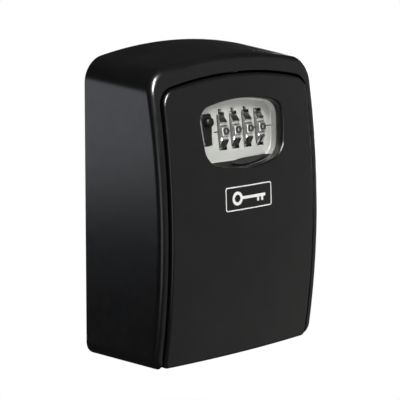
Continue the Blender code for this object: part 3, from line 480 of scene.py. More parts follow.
class Look:
    """A node material with a Principled shader, and short calls for the textures that feed it."""

    def __init__(self, name, colour, roughness, metallic=0.0, specular=0.5):
        self.material = bpy.data.materials.new(name)
        self.material.use_nodes = True
        self.nodes = self.material.node_tree.nodes
        self.links = self.material.node_tree.links
        self.shader = self.nodes["Principled BSDF"]
        self.shader.inputs["Base Color"].default_value = (*colour, 1.0)
        self.shader.inputs["Roughness"].default_value = roughness
        self.shader.inputs["Metallic"].default_value = metallic
        self.shader.inputs["Specular IOR Level"].default_value = specular
        self.coordinates = self.nodes.new("ShaderNodeTexCoord").outputs["Object"]

    def stretched(self, scale):
        """Coordinates scaled by a different amount along each axis, for a grain."""
        mapping = self.nodes.new("ShaderNodeMapping")
        mapping.inputs["Scale"].default_value = scale
        self.links.new(self.coordinates, mapping.inputs["Vector"])
        return mapping.outputs["Vector"]

    def noise(self, scale, detail=3.0, vector=None):
        texture = self.nodes.new("ShaderNodeTexNoise")
        texture.inputs["Scale"].default_value = scale
        texture.inputs["Detail"].default_value = detail
        self.links.new(vector or self.coordinates, texture.inputs["Vector"])
        return texture.outputs["Fac"]

    def cells(self, scale):
        texture = self.nodes.new("ShaderNodeTexVoronoi")
        texture.inputs["Scale"].default_value = scale
        self.links.new(self.coordinates, texture.inputs["Vector"])
        return texture.outputs["Distance"]

    def ranged(self, value, low, high, start=0.3, end=0.7):
        ramp = self.nodes.new("ShaderNodeMapRange")
        ramp.inputs["From Min"].default_value = start
        ramp.inputs["From Max"].default_value = end
        ramp.inputs["To Min"].default_value = low
        ramp.inputs["To Max"].default_value = high
        self.links.new(value, ramp.inputs["Value"])
        return ramp.outputs["Result"]

    def tint(self, value, low, high):
        """Vary the colour between low and high by a texture."""
        mix = self.nodes.new("ShaderNodeMix")
        mix.data_type = "RGBA"
        mix.inputs["A"].default_value = (*low, 1.0)
        mix.inputs["B"].default_value = (*high, 1.0)
        self.links.new(self.ranged(value, 0.0, 1.0), mix.inputs["Factor"])
        self.links.new(mix.outputs["Result"], self.shader.inputs["Base Color"])
        return self

    def gloss(self, value, low, high):
        """Vary the roughness between low and high by a texture."""
        self.links.new(self.ranged(value, low, high), self.shader.inputs["Roughness"])
        return self

    def bumps(self, *layers):
        """Layers of (height texture, depth in metres), fed through one another."""
        normal = None
        for height, depth in layers:
            bump = self.nodes.new("ShaderNodeBump")
            bump.inputs["Strength"].default_value = 1.0
            bump.inputs["Distance"].default_value = depth
            self.links.new(height, bump.inputs["Height"])
            if normal is not None:
                self.links.new(normal, bump.inputs["Normal"])
            normal = bump.outputs["Normal"]
        self.links.new(normal, self.shader.inputs["Normal"])
        return self


def powder_coat():
    look = Look("black_powder_coat", (0.005, 0.005, 0.0055), 0.25, specular=0.31)
    look.tint(look.noise(70), (0.0042, 0.0043, 0.0048), (0.0062, 0.0062, 0.0066))
    look.gloss(look.noise(240), 0.23, 0.27)
    return look.bumps((look.noise(1500, 2.0), 0.000009), (look.noise(5200, 1.0), 0.000003)).material


def silver_paint():
    look = Look("satin_silver_paint", (0.52, 0.53, 0.50), 0.48, 0.1, 0.25)
    look.tint(look.noise(160), (0.50, 0.51, 0.48), (0.55, 0.56, 0.53))
    look.gloss(look.noise(900), 0.45, 0.52)
    return look.bumps((look.noise(4200, 2.0), 0.000012)).material


def shaded_silver():
    # Painted shade: a dark copy of the silver paint, for the sill and the index line where shade falls.
    look = Look("painted_shade_on_silver", (0.010, 0.011, 0.009), 0.5, specular=0.12)
    look.tint(look.noise(300), (0.008, 0.009, 0.0075), (0.013, 0.014, 0.012))
    look.gloss(look.noise(700), 0.40, 0.50)
    return look.bumps((look.noise(3600, 2.0), 0.000010)).material


def wheel_metal():
    look = Look("bright_wheel_metal", (0.84, 0.84, 0.83), 0.18, 1.0)
    turned = look.stretched((9000.0, 500.0, 500.0))
    look.tint(look.noise(500), (0.81, 0.81, 0.80), (0.87, 0.87, 0.86))
    look.gloss(look.noise(1.0, 2.0, turned), 0.16, 0.20)
    return look.bumps((look.noise(1.0, 1.0, turned), 0.0000004)).material


def wheel_side_metal():
    # Painted shade: the wheel's own metal, rougher and painted much darker, for its side faces.
    look = Look("dull_wheel_side_painted_shade", (0.34, 0.34, 0.34), 0.42, 0.9)
    look.tint(look.noise(700), (0.29, 0.29, 0.29), (0.38, 0.38, 0.375))
    look.gloss(look.noise(1500), 0.36, 0.48)
    return look.bumps((look.noise(5000, 2.0), 0.000004)).material


def ink():
    look = Look("black_digit_fill", (0.012, 0.012, 0.012), 0.5)
    look.tint(look.noise(2500), (0.008, 0.008, 0.008), (0.022, 0.022, 0.022))
    return look.bumps((look.noise(9000, 1.0), 0.000006)).material


def moulded_black(name="black_moulded_plastic", base=0.006, specular=0.2):
    look = Look(name, (base, base, base * 1.05), 0.42, specular=specular)
    look.tint(look.noise(220), (base * 0.8,) * 3, (base * 1.35,) * 3)
    look.gloss(look.noise(800), 0.36, 0.48)
    return look.bumps((look.cells(3800), 0.000010), (look.noise(900, 2.0), 0.000012)).material


def zinc_plate():
    look = Look("zinc_plated_steel", (0.56, 0.57, 0.56), 0.34, 1.0)
    look.tint(look.noise(420), (0.50, 0.51, 0.50), (0.62, 0.62, 0.59))
    look.gloss(look.noise(1300), 0.28, 0.42)
    return look.bumps((look.noise(1.0, 2.0, look.stretched((400.0, 4000.0, 4000.0))), 0.000006)).material


def spring_steel():
    look = Look("drawn_spring_steel", (0.40, 0.40, 0.41), 0.28, 1.0)
    look.tint(look.noise(900), (0.34, 0.34, 0.36), (0.46, 0.46, 0.46))
    look.gloss(look.noise(2000), 0.22, 0.36)
    return look.bumps((look.noise(6000, 2.0), 0.000004)).material


def turned_brass():
    look = Look("turned_brass", (0.70, 0.50, 0.20), 0.3, 1.0)
    look.tint(look.noise(350), (0.62, 0.42, 0.16), (0.76, 0.56, 0.24))
    look.gloss(look.noise(1.0, 2.0, look.stretched((6000.0, 700.0, 700.0))), 0.24, 0.38)
    return look.bumps((look.noise(1.0, 1.0, look.stretched((9000.0, 500.0, 500.0))), 0.000005)).material


def moulded_red():
    look = Look("red_moulded_plastic", (0.42, 0.025, 0.018), 0.38)
    look.tint(look.noise(260), (0.36, 0.018, 0.014), (0.48, 0.034, 0.024))
    look.gloss(look.noise(900), 0.32, 0.44)
    return look.bumps((look.cells(3400), 0.000009)).material


def badge_print():
    look = Look("white_badge_print", (0.72, 0.72, 0.70), 0.45)
    look.tint(look.noise(1800), (0.66, 0.66, 0.64), (0.78, 0.78, 0.76))
    look.gloss(look.noise(2500), 0.38, 0.52)
    return look.bumps((look.noise(6000, 1.0), 0.000004)).material


BLACK = powder_coat()
SILVER = silver_paint()
# Painted shade for the silver sill and the inside of the index line.
PAINTED_SHADE_SILVER = shaded_silver()
WHEEL_METAL = wheel_metal()
# The wheels' side metal, darkened as painted shade.
WHEEL_SIDE_PAINTED_SHADE = wheel_side_metal()
INK = ink()
MOULDED = moulded_black()
SCOOP_PLASTIC = moulded_black("dark_grey_moulded_plastic", 0.018)
ZINC = zinc_plate()
SPRING = spring_steel()
BRASS = turned_brass()
RED = moulded_red()
PRINT = badge_print()

SLOT_LOOKS = {
    "black_cast": BLACK,
    "silver_cast": SILVER,
    "wheel": WHEEL_METAL,
    "black_moulded": MOULDED,
    "zinc_steel": ZINC,
    "spring_steel": SPRING,
    "brass": BRASS,
    "red_moulded": RED,
}


def dress_frame_nodes():
    """Give each CAD node the material of its slot."""
    slots = {part["node"]: part["material_slot"] for part in frame["record"]["subparts"]}
    for name, node in NODES.items():
        node.data.materials.clear()
        node.data.materials.append(SLOT_LOOKS[slots[name]])


# ---------------------------------------------------------------- housing and door

def outer_outline():
    corners = (BOTTOM_CORNER_RADIUS, TOP_CORNER_RADIUS)
    return outline(HOUSING_WIDTH / 2, 0.0, HOUSING_HEIGHT, corners, (None, TOP_ARCH_RADIUS))


def drafted(ring, depth):
    """The outer outline narrowed by its draft at a depth, a number or a function, before the back face."""
    found = []
    for x, z, nx, nz in ring:
        at = depth(x, z) if callable(depth) else depth
        across = 1 - SIDE_DRAFT * at / (HOUSING_WIDTH / 2)
        upwards = 1 - TOP_DRAFT * at / HOUSING_HEIGHT
        found.append((x * across, z * upwards, nx, nz))
    return found


FRAME_HALF_WIDTH = HOUSING_WIDTH / 2 - SIDE_DRAFT * front_depth(HOUSING_WIDTH / 2, CROWN_Z)
FRAME_CROWN = HOUSING_HEIGHT - TOP_DRAFT * front_depth(0, HOUSING_HEIGHT)
OPENING_HALF_WIDTH = FRAME_HALF_WIDTH - FRAME_BAND
OPENING_TOP = FRAME_CROWN - FRAME_TOP_BAND
DOOR_HALF_WIDTH = OPENING_HALF_WIDTH - DOOR_GAP
HINGE_Y = door_y(OPENING_HALF_WIDTH, HINGE_Z) + HINGE_SETBACK
FLOOR_FRONT_Y = HINGE_Y + (HINGE_Z - DOOR_BASE_GAP) + FLOOR_CLEARANCE


def opening_outline(bottom, inwards=0.0):
    corners = (DOOR_BOTTOM_RADIUS, OPENING_CORNER_RADIUS - inwards)
    arches = (None, OPENING_ARCH_RADIUS - inwards)
    return outline(OPENING_HALF_WIDTH - inwards, bottom, OPENING_TOP - inwards, corners, arches)


def housing_cutters():
    """The door's bay in the front of the floor, and the bores for hinge pins, fixings and keeper screws."""
    bay_low = (-OPENING_HALF_WIDTH, BACK_Y - CROWN_DEPTH - FAR, -FAR)
    bay_high = (OPENING_HALF_WIDTH, FLOOR_FRONT_Y, FLOOR + BOTTOM_CORNER_RADIUS)
    yield box("door_bay", bay_low, bay_high)
    for side in (-1, 1):
        start = (side * (OPENING_HALF_WIDTH - FAR / 2), HINGE_Y, HINGE_Z)
        end = (side * (OPENING_HALF_WIDTH + HINGE_PIN_IN_FRAME + CLEARANCE), HINGE_Y, HINGE_Z)
        yield rod("hinge_bore", start, end, HINGE_PIN_RADIUS + CLEARANCE)
    inner = BACK_Y - BACK_WALL
    for across in (-0.5, 0.5):
        for upwards in (-0.5, 0.5):
            x = across * FIXING_SPACING_X
            z = FIXING_CENTRE_Z + upwards * FIXING_SPACING_Z
            ends = ((x, BACK_Y + FAR, z), (x, inner - FIXING_SINK_DEPTH, z))
            yield rod("fixing_hole", *ends, FIXING_HOLE_RADIUS)
            flare = FIXING_SINK_RADIUS * 2 - FIXING_HOLE_RADIUS
            ends = ((x, inner + FIXING_SINK_DEPTH, z), (x, inner - FIXING_SINK_DEPTH, z))
            yield rod("fixing_sink", *ends, FIXING_HOLE_RADIUS, end_radius=flare)
    for name in ("keeper_screw_1", "keeper_screw_2"):
        low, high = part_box(name)
        middle = (low + high) / 2
        ends = ((middle.x, low.y - CLEARANCE, middle.z), (middle.x, high.y, middle.z))
        yield rod("keeper_bore", *ends, SCREW_RADIUS + CLEARANCE)


def build_housing():
    """The cast housing: round its back edge, to the front, in through the mouth and back along the inside."""
    back = outer_outline()
    front = drafted(back, front_depth)
    rings = []
    for step in range(EDGE_STEPS + 1):
        turn = math.pi / 2 * step / EDGE_STEPS
        edge = inset(back, BACK_EDGE_ROUND * (1 - math.sin(turn)))
        rings.append(ring_at(edge, BACK_Y - BACK_EDGE_ROUND * (1 - math.cos(turn))))
    rings += rounded_edge(front, FRONT_FILLET, front_y)
    opening = opening_outline(FLOOR)
    rings += reversed(list(rounded_edge(opening, MOUTH_EDGE_ROUND, front_y, -1.0, EDGE_STEPS)))
    rings.append(ring_at(opening, lambda x, z: front_y(x, z) + LIP_DEPTH))
    cavity = inset(drafted(back, lambda x, z: front_depth(x, z) - LIP_DEPTH), WALL)
    cavity = [(x, max(z, FLOOR), nx, nz) for x, z, nx, nz in cavity]
    rings.append(ring_at(cavity, lambda x, z: front_y(x, z) + LIP_DEPTH))
    rings.append(ring_at(inset(back, WALL), BACK_Y - BACK_WALL))
    shell = cut(loft("housing_shell", rings), *housing_cutters())
    dress(weighted(smooth(shell)), BLACK, "housing", "black_cast", "housing")


def weighted(obj):
    """Keep broad faces flat-shaded up to the rounds beside them."""
    modifier = obj.modifiers.new("weighted_normals", "WEIGHTED_NORMAL")
    modifier.keep_sharp = True
    modifier.weight = NORMAL_WEIGHT
    return obj


def window_outline():
    corners = (WINDOW_CORNER, WINDOW_CORNER)
    arches = (WINDOW_BOTTOM_ARCH, WINDOW_TOP_ARCH)
    return outline(WINDOW_HALF_WIDTH, -WINDOW_BOTTOM, WINDOW_TOP, corners, arches, WINDOW_TAPER)


def window_cutter():
    """Flares out to the door's surface in a round lip, and runs straight back through the collar."""
    window = window_outline()
    mouth = inset(window, -WINDOW_LIP_RADIUS)
    rings = [ring_at(mouth, lambda x, z: lock_surface(x, z) - COLLAR_DEPTH)]
    rings += reversed(list(rounded_edge(window, WINDOW_LIP_RADIUS, lock_surface, -1.0)))
    rings.append(ring_at(window, COLLAR_DEPTH * 2))
    return loft("window", rings, LOCK_FRAME)


def boss_points():
    return [(side * BOSS_X, end * BOSS_Z) for side in (-1, 1) for end in (-1, 1)]


def door_body():
    """The crowned, rimmed skin of the door."""
    edge = opening_outline(DOOR_BASE_GAP, DOOR_GAP)
    face = inset(edge, DOOR_FILLET)
    inner = inset(edge, DOOR_RIM)
    rings = [[Vector((0, door_y(0, CROWN_Z), CROWN_Z))]]
    rings += [ring_at(scaled(face, CROWN_Z, share), door_y) for share in DOOR_RING_SHARES]
    rings += reversed(list(rounded_edge(edge, DOOR_FILLET, door_y)))
    for ring in (edge, inner):
        rings.append([Vector((x, door_y(DOOR_HALF_WIDTH, z) + DOOR_RIM_DEPTH, z)) for x, z, _, _ in ring])
    for share in (1.0, *reversed(DOOR_RING_SHARES)):
        rings.append(ring_at(scaled(inner, CROWN_Z, share), lambda x, z: door_y(x, z) + DOOR_SKIN))
    rings.append([Vector((0, door_y(0, CROWN_Z) + DOOR_SKIN, CROWN_Z))])
    return loft("door_shell", rings)


def build_door():
    """The door with the collar round its window, the screw bosses behind it, and its two bored knuckles."""
    door = door_body()
    mid_skin = DOOR_SKIN / 2
    collar = inset(window_outline(), -WINDOW_COLLAR)
    collar_front = ring_at(collar, lambda x, z: lock_surface(x, z) + mid_skin)
    tools = [loft("window_collar", [collar_front, ring_at(collar, COLLAR_DEPTH)], LOCK_FRAME)]
    for x, z in boss_points():
        start = (x, lock_surface(x, z) + mid_skin, z)
        tools.append(rod("boss", start, (x, BOSS_DEPTH, z), BOSS_RADIUS, LOCK_FRAME))
    holes = [window_cutter()]
    for x, z in boss_points():
        ends = ((x, BOSS_DEPTH - SCREW_BITE, z), (x, BOSS_DEPTH * 2, z))
        holes.append(rod("boss_bore", *ends, SCREW_RADIUS + CLEARANCE, LOCK_FRAME))
    web_front = door_y(DOOR_HALF_WIDTH, HINGE_Z) + mid_skin
    for side in (-1, 1):
        outer_x = side * (DOOR_HALF_WIDTH - CLEARANCE)
        inner_x = outer_x - side * KNUCKLE_LENGTH
        reach = side * (DOOR_HALF_WIDTH - DOOR_RIM / 2)
        tools.append(rod("knuckle", (inner_x, HINGE_Y, HINGE_Z), (reach, HINGE_Y, HINGE_Z), KNUCKLE_RADIUS))
        low = (min(inner_x, reach), web_front, DOOR_BASE_GAP + DOOR_RIM / 2)
        high = (max(inner_x, reach), HINGE_Y, HINGE_Z + KNUCKLE_RADIUS - CLEARANCE)
        tools.append(box("knuckle_web", low, high))
        start = (inner_x - side * CLEARANCE, HINGE_Y, HINGE_Z)
        end = (outer_x + side * KNUCKLE_LENGTH, HINGE_Y, HINGE_Z)
        holes.append(rod("knuckle_bore", start, end, HINGE_PIN_RADIUS + CLEARANCE))
    door = cut(join(door, *tools), *holes)
    dress(weighted(smooth(door)), BLACK, "door", "black_cast", "door")


# ---------------------------------------------------------------- window: plate, scoop, wheels, lever

def wheel_axis_y():
    return POCKET_DEPTH + WHEEL_APOTHEM - WHEEL_PROUD


def wheel_reach():
    """Largest radius of a turning wheel, at the ends of its flats."""
    return math.hypot(WHEEL_APOTHEM, WHEEL_FLAT / 2)


def wheel_x(index):
    return WHEEL_ROW_CENTRE_X + (index - (WHEEL_COUNT - 1) / 2) * WHEEL_PITCH


def sill_rise(x):
    """How far the dial plate's floor stands over the window's lower edge at this x."""
    half = WINDOW_HALF_WIDTH * SILL_SHARE
    return SILL_RISE * max(0.0, 1 - (x / half) ** 2)


def sill_point(x, share, over):
    """A point on the sill, from its front edge (share 0) to the dial plate (share 1), raised over it."""
    slope = math.atan2(sill_rise(x), POCKET_DEPTH - TRAY_RIM)
    untapered = x / (1 - WINDOW_TAPER)
    edge = -WINDOW_BOTTOM + WINDOW_BOTTOM_ARCH - math.sqrt(WINDOW_BOTTOM_ARCH**2 - untapered**2)
    y = TRAY_RIM + (POCKET_DEPTH - TRAY_RIM) * share - over * math.sin(slope)
    return Vector((x, y, edge + sill_rise(x) * share + over * math.cos(slope)))


def slot_half_height():
    """Half the height of the wheels' slots, so that a turning wheel clears the back of the dial plate."""
    behind = wheel_axis_y() - POCKET_DEPTH - PLATE_THICKNESS
    return math.sqrt(wheel_reach() ** 2 - behind**2) + CLEARANCE


def plate_cutters():
    """The slots of the wheels and the lever, the notches between them, the index line and the ears' bores."""
    deep = PLATE_BACK + TRAY_WALL
    half_slot = slot_half_height()
    across = WHEEL_WIDTH / 2 + CLEARANCE
    for index in range(WHEEL_COUNT):
        x = wheel_x(index)
        low = (x - across, TRAY_RIM, WHEEL_Z - half_slot)
        high = (x + across, deep, WHEEL_Z + half_slot)
        yield box("wheel_slot", low, high, LOCK_FRAME)
        if index < WHEEL_COUNT - 1:
            low = (x - SLOT_NOTCH_WIDTH / 2, TRAY_RIM, WHEEL_Z + half_slot - SLOT_NOTCH_HEIGHT)
            high = (x + SLOT_NOTCH_WIDTH / 2, deep, WHEEL_Z + half_slot + SLOT_NOTCH_HEIGHT)
            yield box("slot_notch", low, high, LOCK_FRAME)
    reach = LEVER_KNOB_HEIGHT / 2
    right = LEVER_X + LEVER_SLOT_WIDTH / 2 + LEVER_SLOT_SIDE
    low = (LEVER_X - LEVER_SLOT_WIDTH / 2, TRAY_RIM, LEVER_KNOB_Z - reach - LEVER_SLOT_BELOW)
    high = (right, deep, LEVER_KNOB_Z + reach + LEVER_SLOT_ABOVE)
    yield box("lever_slot", low, high, LOCK_FRAME)
    half_line = INDEX_LINE_WIDTH / 2
    low = (LEVER_X + LEVER_SLOT_WIDTH, TRAY_RIM, WHEEL_Z - half_line)
    high = (WINDOW_HALF_WIDTH - PLATE_FILLET, POCKET_DEPTH + INDEX_LINE_DEPTH, WHEEL_Z + half_line)
    yield box("index_line", low, high, LOCK_FRAME)
    for x, z in boss_points():
        yield rod("ear_bore", (x, 0, z), (x, EAR_BACK * 2, z), SCREW_RADIUS + CLEARANCE, LOCK_FRAME)


def tray_rings():
    """Rings over the round between the tray's floor and walls, and then down its outside."""
    window = window_outline()
    outer = inset(window, -TRAY_WALL)
    for step in range(FILLET_STEPS + 1):
        turn = math.pi / 2 * step / FILLET_STEPS
        y = POCKET_DEPTH - PLATE_FILLET * (1 - math.cos(turn))
        raised = (y - TRAY_RIM) / (POCKET_DEPTH - TRAY_RIM)
        ring = []
        for x, z, _, _ in inset(window, PLATE_FILLET * (1 - math.sin(turn))):
            rise = sill_rise(x) * raised if z < WHEEL_Z - WHEEL_APOTHEM else 0.0
            ring.append(Vector((x, y, z + rise)))
        yield ring
    yield ring_at(window, TRAY_RIM)
    yield ring_at(outer, TRAY_RIM)
    yield ring_at(outer, PLATE_BACK)


def plate_ears():
    """The ears that the lock's screws pass through, each with the tab that holds it to the tray."""
    for x, z in boss_points():
        ends = sorted((x, math.copysign(WINDOW_HALF_WIDTH - TRAY_WALL, x)))
        yield rod("ear", (x, BOSS_DEPTH + CLEARANCE, z), (x, EAR_BACK, z), BOSS_RADIUS, LOCK_FRAME)
        low = (ends[0], POCKET_DEPTH + CLEARANCE, z - TAB_WIDTH / 2)
        high = (ends[1], PLATE_BACK - CLEARANCE, z + TAB_WIDTH / 2)
        yield box("tab", low, high, LOCK_FRAME)


def darken(plate):
    """Painted shade: the sill below the wheels and the inside of the index line take a dark copy of the
    silver.
    """
    plate.data.materials.append(PAINTED_SHADE_SILVER)
    to_lock = LOCK_FRAME.inverted()
    line_top = PLATE_FILLET / 4
    line_bottom = INDEX_LINE_DEPTH * 1.1
    for face in plate.data.polygons:
        middle = to_lock @ face.center
        normal = to_lock.to_3x3() @ face.normal
        on_wall = TRAY_RIM < middle.y < POCKET_DEPTH - PLATE_FILLET / 2
        below = middle.z < WHEEL_Z - WHEEL_APOTHEM and sill_rise(middle.x) > 0.0
        on_line = abs(middle.z - WHEEL_Z) < INDEX_LINE_WIDTH and abs(middle.x) < WINDOW_HALF_WIDTH
        in_line = on_line and line_top < middle.y - POCKET_DEPTH < line_bottom
        # The sill's up-facing faces and the index line's inside take the painted shade.
        if in_line or (on_wall and below and normal.z > SILL_FACING):
            face.material_index = 1


def build_plate():
    """The silver tray behind the window."""
    plate = join(loft("dial_tray", tray_rings(), LOCK_FRAME), *plate_ears())
    plate = cut(plate, *plate_cutters())
    dress(weighted(smooth(plate)), SILVER, "door", "silver_cast", "dial_plate")
    # Paint shade on the sill and inside the index line.
    darken(plate)


def build_scoop():
    """The finger scoop on the sloping sill below the wheels: a thin dished shell with a rounded rim."""
    low = PULL_TAB_CLEARANCE
    high = PULL_TAB_CLEARANCE + PULL_TAB_THICKNESS
    rounding = PULL_TAB_THICKNESS / 3
    profile = [(size, low) for size in SCOOP_UNDERSIDE]
    profile += [(1.0, low + rounding), (1.0, high - rounding)]
    profile += [(size, high - dip * rounding) for size, dip in SCOOP_DISH]
    rings = []
    for size, over in profile:
        ring = []
        for step in range(ROUND_STEPS if size else 1):
            angle = 2 * math.pi * step / ROUND_STEPS
            x = PULL_TAB_X + PULL_TAB_HALF_WIDTH * size * math.cos(angle)
            ring.append(sill_point(x, 0.5 + PULL_TAB_SHARE / 2 * size * math.sin(angle), over))
        rings.append(ring)
    scoop = smooth(loft("finger_scoop", rings, LOCK_FRAME), SCOOP_SHARP_ANGLE)
    dress(scoop, SCOOP_PLASTIC, "door", "black_moulded", "pull_tab")


def wheel_section():
    """The wheel's outline as (angle, radius) about its axis: ten flats with round finger notches between."""
    half_flat = math.atan2(WHEEL_FLAT / 2, WHEEL_APOTHEM)
    pitch = 2 * math.pi / DIGITS
    points = []
    for digit in range(DIGITS):
        start = math.pi + digit * pitch
        for step in range(-WHEEL_FLAT_STEPS, WHEEL_FLAT_STEPS + 1):
            angle = half_flat * step / WHEEL_FLAT_STEPS
            points.append((start + angle, WHEEL_APOTHEM / math.cos(angle)))
        gap = pitch - 2 * half_flat
        for step in range(1, WHEEL_NOTCH_STEPS):
            share = step / WHEEL_NOTCH_STEPS
            depth = WHEEL_NOTCH_DEPTH * math.sin(math.pi * share) ** WHEEL_NOTCH_POWER
            points.append((start + half_flat + gap * share, wheel_reach() - depth))
    return points


def wheel_mesh():
    """One number wheel on its own axis along X, its edges chamfered, its bore round."""
    section = wheel_section()
    half = WHEEL_WIDTH / 2
    full = half - WHEEL_CHAMFER
    bore = SLEEVE_HUB_RADIUS + CLEARANCE
    rings = []
    for x, trim in ((-half, WHEEL_CHAMFER), (-full, 0.0), (full, 0.0), (half, WHEEL_CHAMFER)):
        rings.append([Vector((x, (r - trim) * math.cos(a), (r - trim) * math.sin(a))) for a, r in section])
    for x in (half, -half):
        rings.append([Vector((x, bore * math.cos(a), bore * math.sin(a))) for a, _ in section])
    return loft("number_wheel", rings, closed=True)


def digit_mesh():
    """The ten digits on the wheel's flats, each from DIGIT_DEPTH below its flat to DIGIT_PROUD over it."""
    bm = bmesh.new()
    for digit in range(DIGITS):
        text = bpy.data.curves.new("digit", "FONT")
        text.body = str(digit)
        text.size = DIGIT_HEIGHT / CAP_SHARE
        text.offset = DIGIT_BOLDNESS * text.size
        text.resolution_u = DIGIT_CURVE_STEPS
        text.align_x = "CENTER"
        text.extrude = (DIGIT_DEPTH + DIGIT_PROUD) / 2
        mesh = curve_mesh(text)
        heights = [vertex.co.y for vertex in mesh.vertices]
        middle = (min(heights) + max(heights)) / 2
        turn = digit * 2 * math.pi / DIGITS
        outward = Vector((0, -math.cos(turn), -math.sin(turn)))
        upward = Vector((0, -math.sin(turn), math.cos(turn)))
        place = Matrix((Vector((DIGIT_WIDENING, 0, 0)), upward, outward)).transposed().to_4x4()
        mesh.transform(Matrix.Translation((0, -middle, (DIGIT_PROUD - DIGIT_DEPTH) / 2)))
        mesh.transform(Matrix.Translation(outward * WHEEL_APOTHEM) @ place)
        bm.from_mesh(mesh)
        bpy.data.meshes.remove(mesh)
    bmesh.ops.remove_doubles(bm, verts=bm.verts, dist=DIGIT_WELD)
    return mesh_object("digit_print", bm)


def placed_copy(source, name, place):
    """A piece of its own with a copy of the source's mesh, moved by place."""
    mesh = source.data.copy()
    mesh.transform(place)
    return new_object(name, mesh)


def build_wheels():
    """The number wheels, bright on their flats, with rougher side faces whose darker colour is painted shade,
    and the digits printed on their flats.
    """
    digits = digit_mesh()
    wheel = smooth(wheel_mesh(), WHEEL_SHARP_ANGLE)
    for index in range(WHEEL_COUNT):
        number = index + 1
        body = f"dial_{number}"
        place = LOCK_FRAME @ Matrix.Translation((wheel_x(index), wheel_axis_y(), WHEEL_Z))
        turned = placed_copy(wheel, f"turned_wheel_{number}", place)
        dress(turned, WHEEL_METAL, body, "wheel", f"number_wheel_{number}")
        # Faces that face sideways take the darker copy of the metal: painted shade.
        turned.data.materials.append(WHEEL_SIDE_PAINTED_SHADE)
        for face in turned.data.polygons:
            face.material_index = int(abs(face.normal.x) > WHEEL_SIDE_FACING)
        dress(placed_copy(digits, f"digits_{number}", place), INK, body, "wheel")
    bpy.data.objects.remove(wheel)
    bpy.data.objects.remove(digits)


def superellipse(half_width, half_height, power):
    """Points (x, z) round an ellipse, which is squarer the smaller the power is."""
    for step in range(ROUND_STEPS):
        angle = 2 * math.pi * step / ROUND_STEPS
        turned = (math.cos(angle), math.sin(angle))
        across, upwards = (math.copysign(abs(part) ** power, part) for part in turned)
        yield (half_width * across, half_height * upwards)


def lever_leaf():
    """The tapered leaf over the lever's slot."""
    middle = (LEAF_TOP + LEAF_FOOT) / 2
    rings = []
    for y, trim in ((LEAF_BACK, 0.0), (LEAF_FRONT + LEAF_EDGE, 0.0), (LEAF_FRONT, LEAF_EDGE)):
        reach = (LEAF_TOP - LEAF_FOOT) / 2 - trim
        ring = []
        for across, upwards in superellipse(1.0, 1.0, LEAF_POWER):
            share = (1 - upwards) / 2
            half = LEAF_TOP_WIDTH / 2 + (LEAF_FOOT_WIDTH - LEAF_TOP_WIDTH) / 2 * share - trim
            ring.append(Vector((LEVER_X + half * across, y, middle + reach * upwards)))
        rings.append(ring)
    return loft("lever_knob", rings, LOCK_FRAME)


def knob_size(share):
    """The knob's size at a share of the way from the leaf to its nose: a waist, then full, then rounded."""
    size = KNOB_WAIST + (1 - KNOB_WAIST) * math.sin(math.pi / 2 * min(1.0, share * KNOB_SWELL))
    if share > KNOB_NOSE_START:
        along = (share - KNOB_NOSE_START) / (1 - KNOB_NOSE_START)
        size *= math.sqrt(max(0.0, 1 - along**KNOB_NOSE_POWER))
    return size


def round_knob():
    start = LEAF_FRONT + LEAF_EDGE
    nose = LEAF_BACK - LEVER_KNOB_PROUD
    rings = []
    for step in range(NOSE_STEPS + 1):
        share = step / NOSE_STEPS
        size = knob_size(share)
        if size < KNOB_TIP_SIZE:
            rings.append([Vector((LEVER_X, nose, LEVER_KNOB_Z))])
            continue
        y = start + (nose - start) * share
        shape = superellipse(LEVER_KNOB_WIDTH / 2 * size, LEVER_KNOB_HEIGHT / 2 * size, KNOB_POWER)
        rings.append([Vector((LEVER_X + x, y, LEVER_KNOB_Z + z)) for x, z in shape])
    return loft("knob", rings, LOCK_FRAME)


def build_lever():
    """The black lever: a tapered leaf over its slot, a round-nosed knob, and the neck and stud behind."""
    reach = LEVER_KNOB_HEIGHT / 2
    neck_foot = LEVER_KNOB_Z - reach + CLEARANCE
    neck_top = LEVER_KNOB_Z + reach - CLEARANCE - LEVER_NECK_DROP
    neck_low = (LEVER_X - LEVER_NECK_WIDTH / 2, LEAF_BACK - LEAF_THICKNESS / 2, neck_foot)
    neck_high = (LEVER_X + LEVER_NECK_WIDTH / 2, PLATE_BACK + CLEARANCE / 2, neck_top)
    neck = box("neck", neck_low, neck_high, LOCK_FRAME)
    stud_end = PLATE_BACK + CLEARANCE + LATCH_THICKNESS
    ends = ((LEVER_X, LEAF_BACK, LEVER_KNOB_Z), (LEVER_X, stud_end, LEVER_KNOB_Z))
    stud = rod("stud", *ends, LEVER_STUD_RADIUS, LOCK_FRAME)
    lever = join(lever_leaf(), round_knob(), neck, stud)
    dress(smooth(lever, LEVER_SHARP_ANGLE), MOULDED, "latch", "black_moulded", "open_lever")


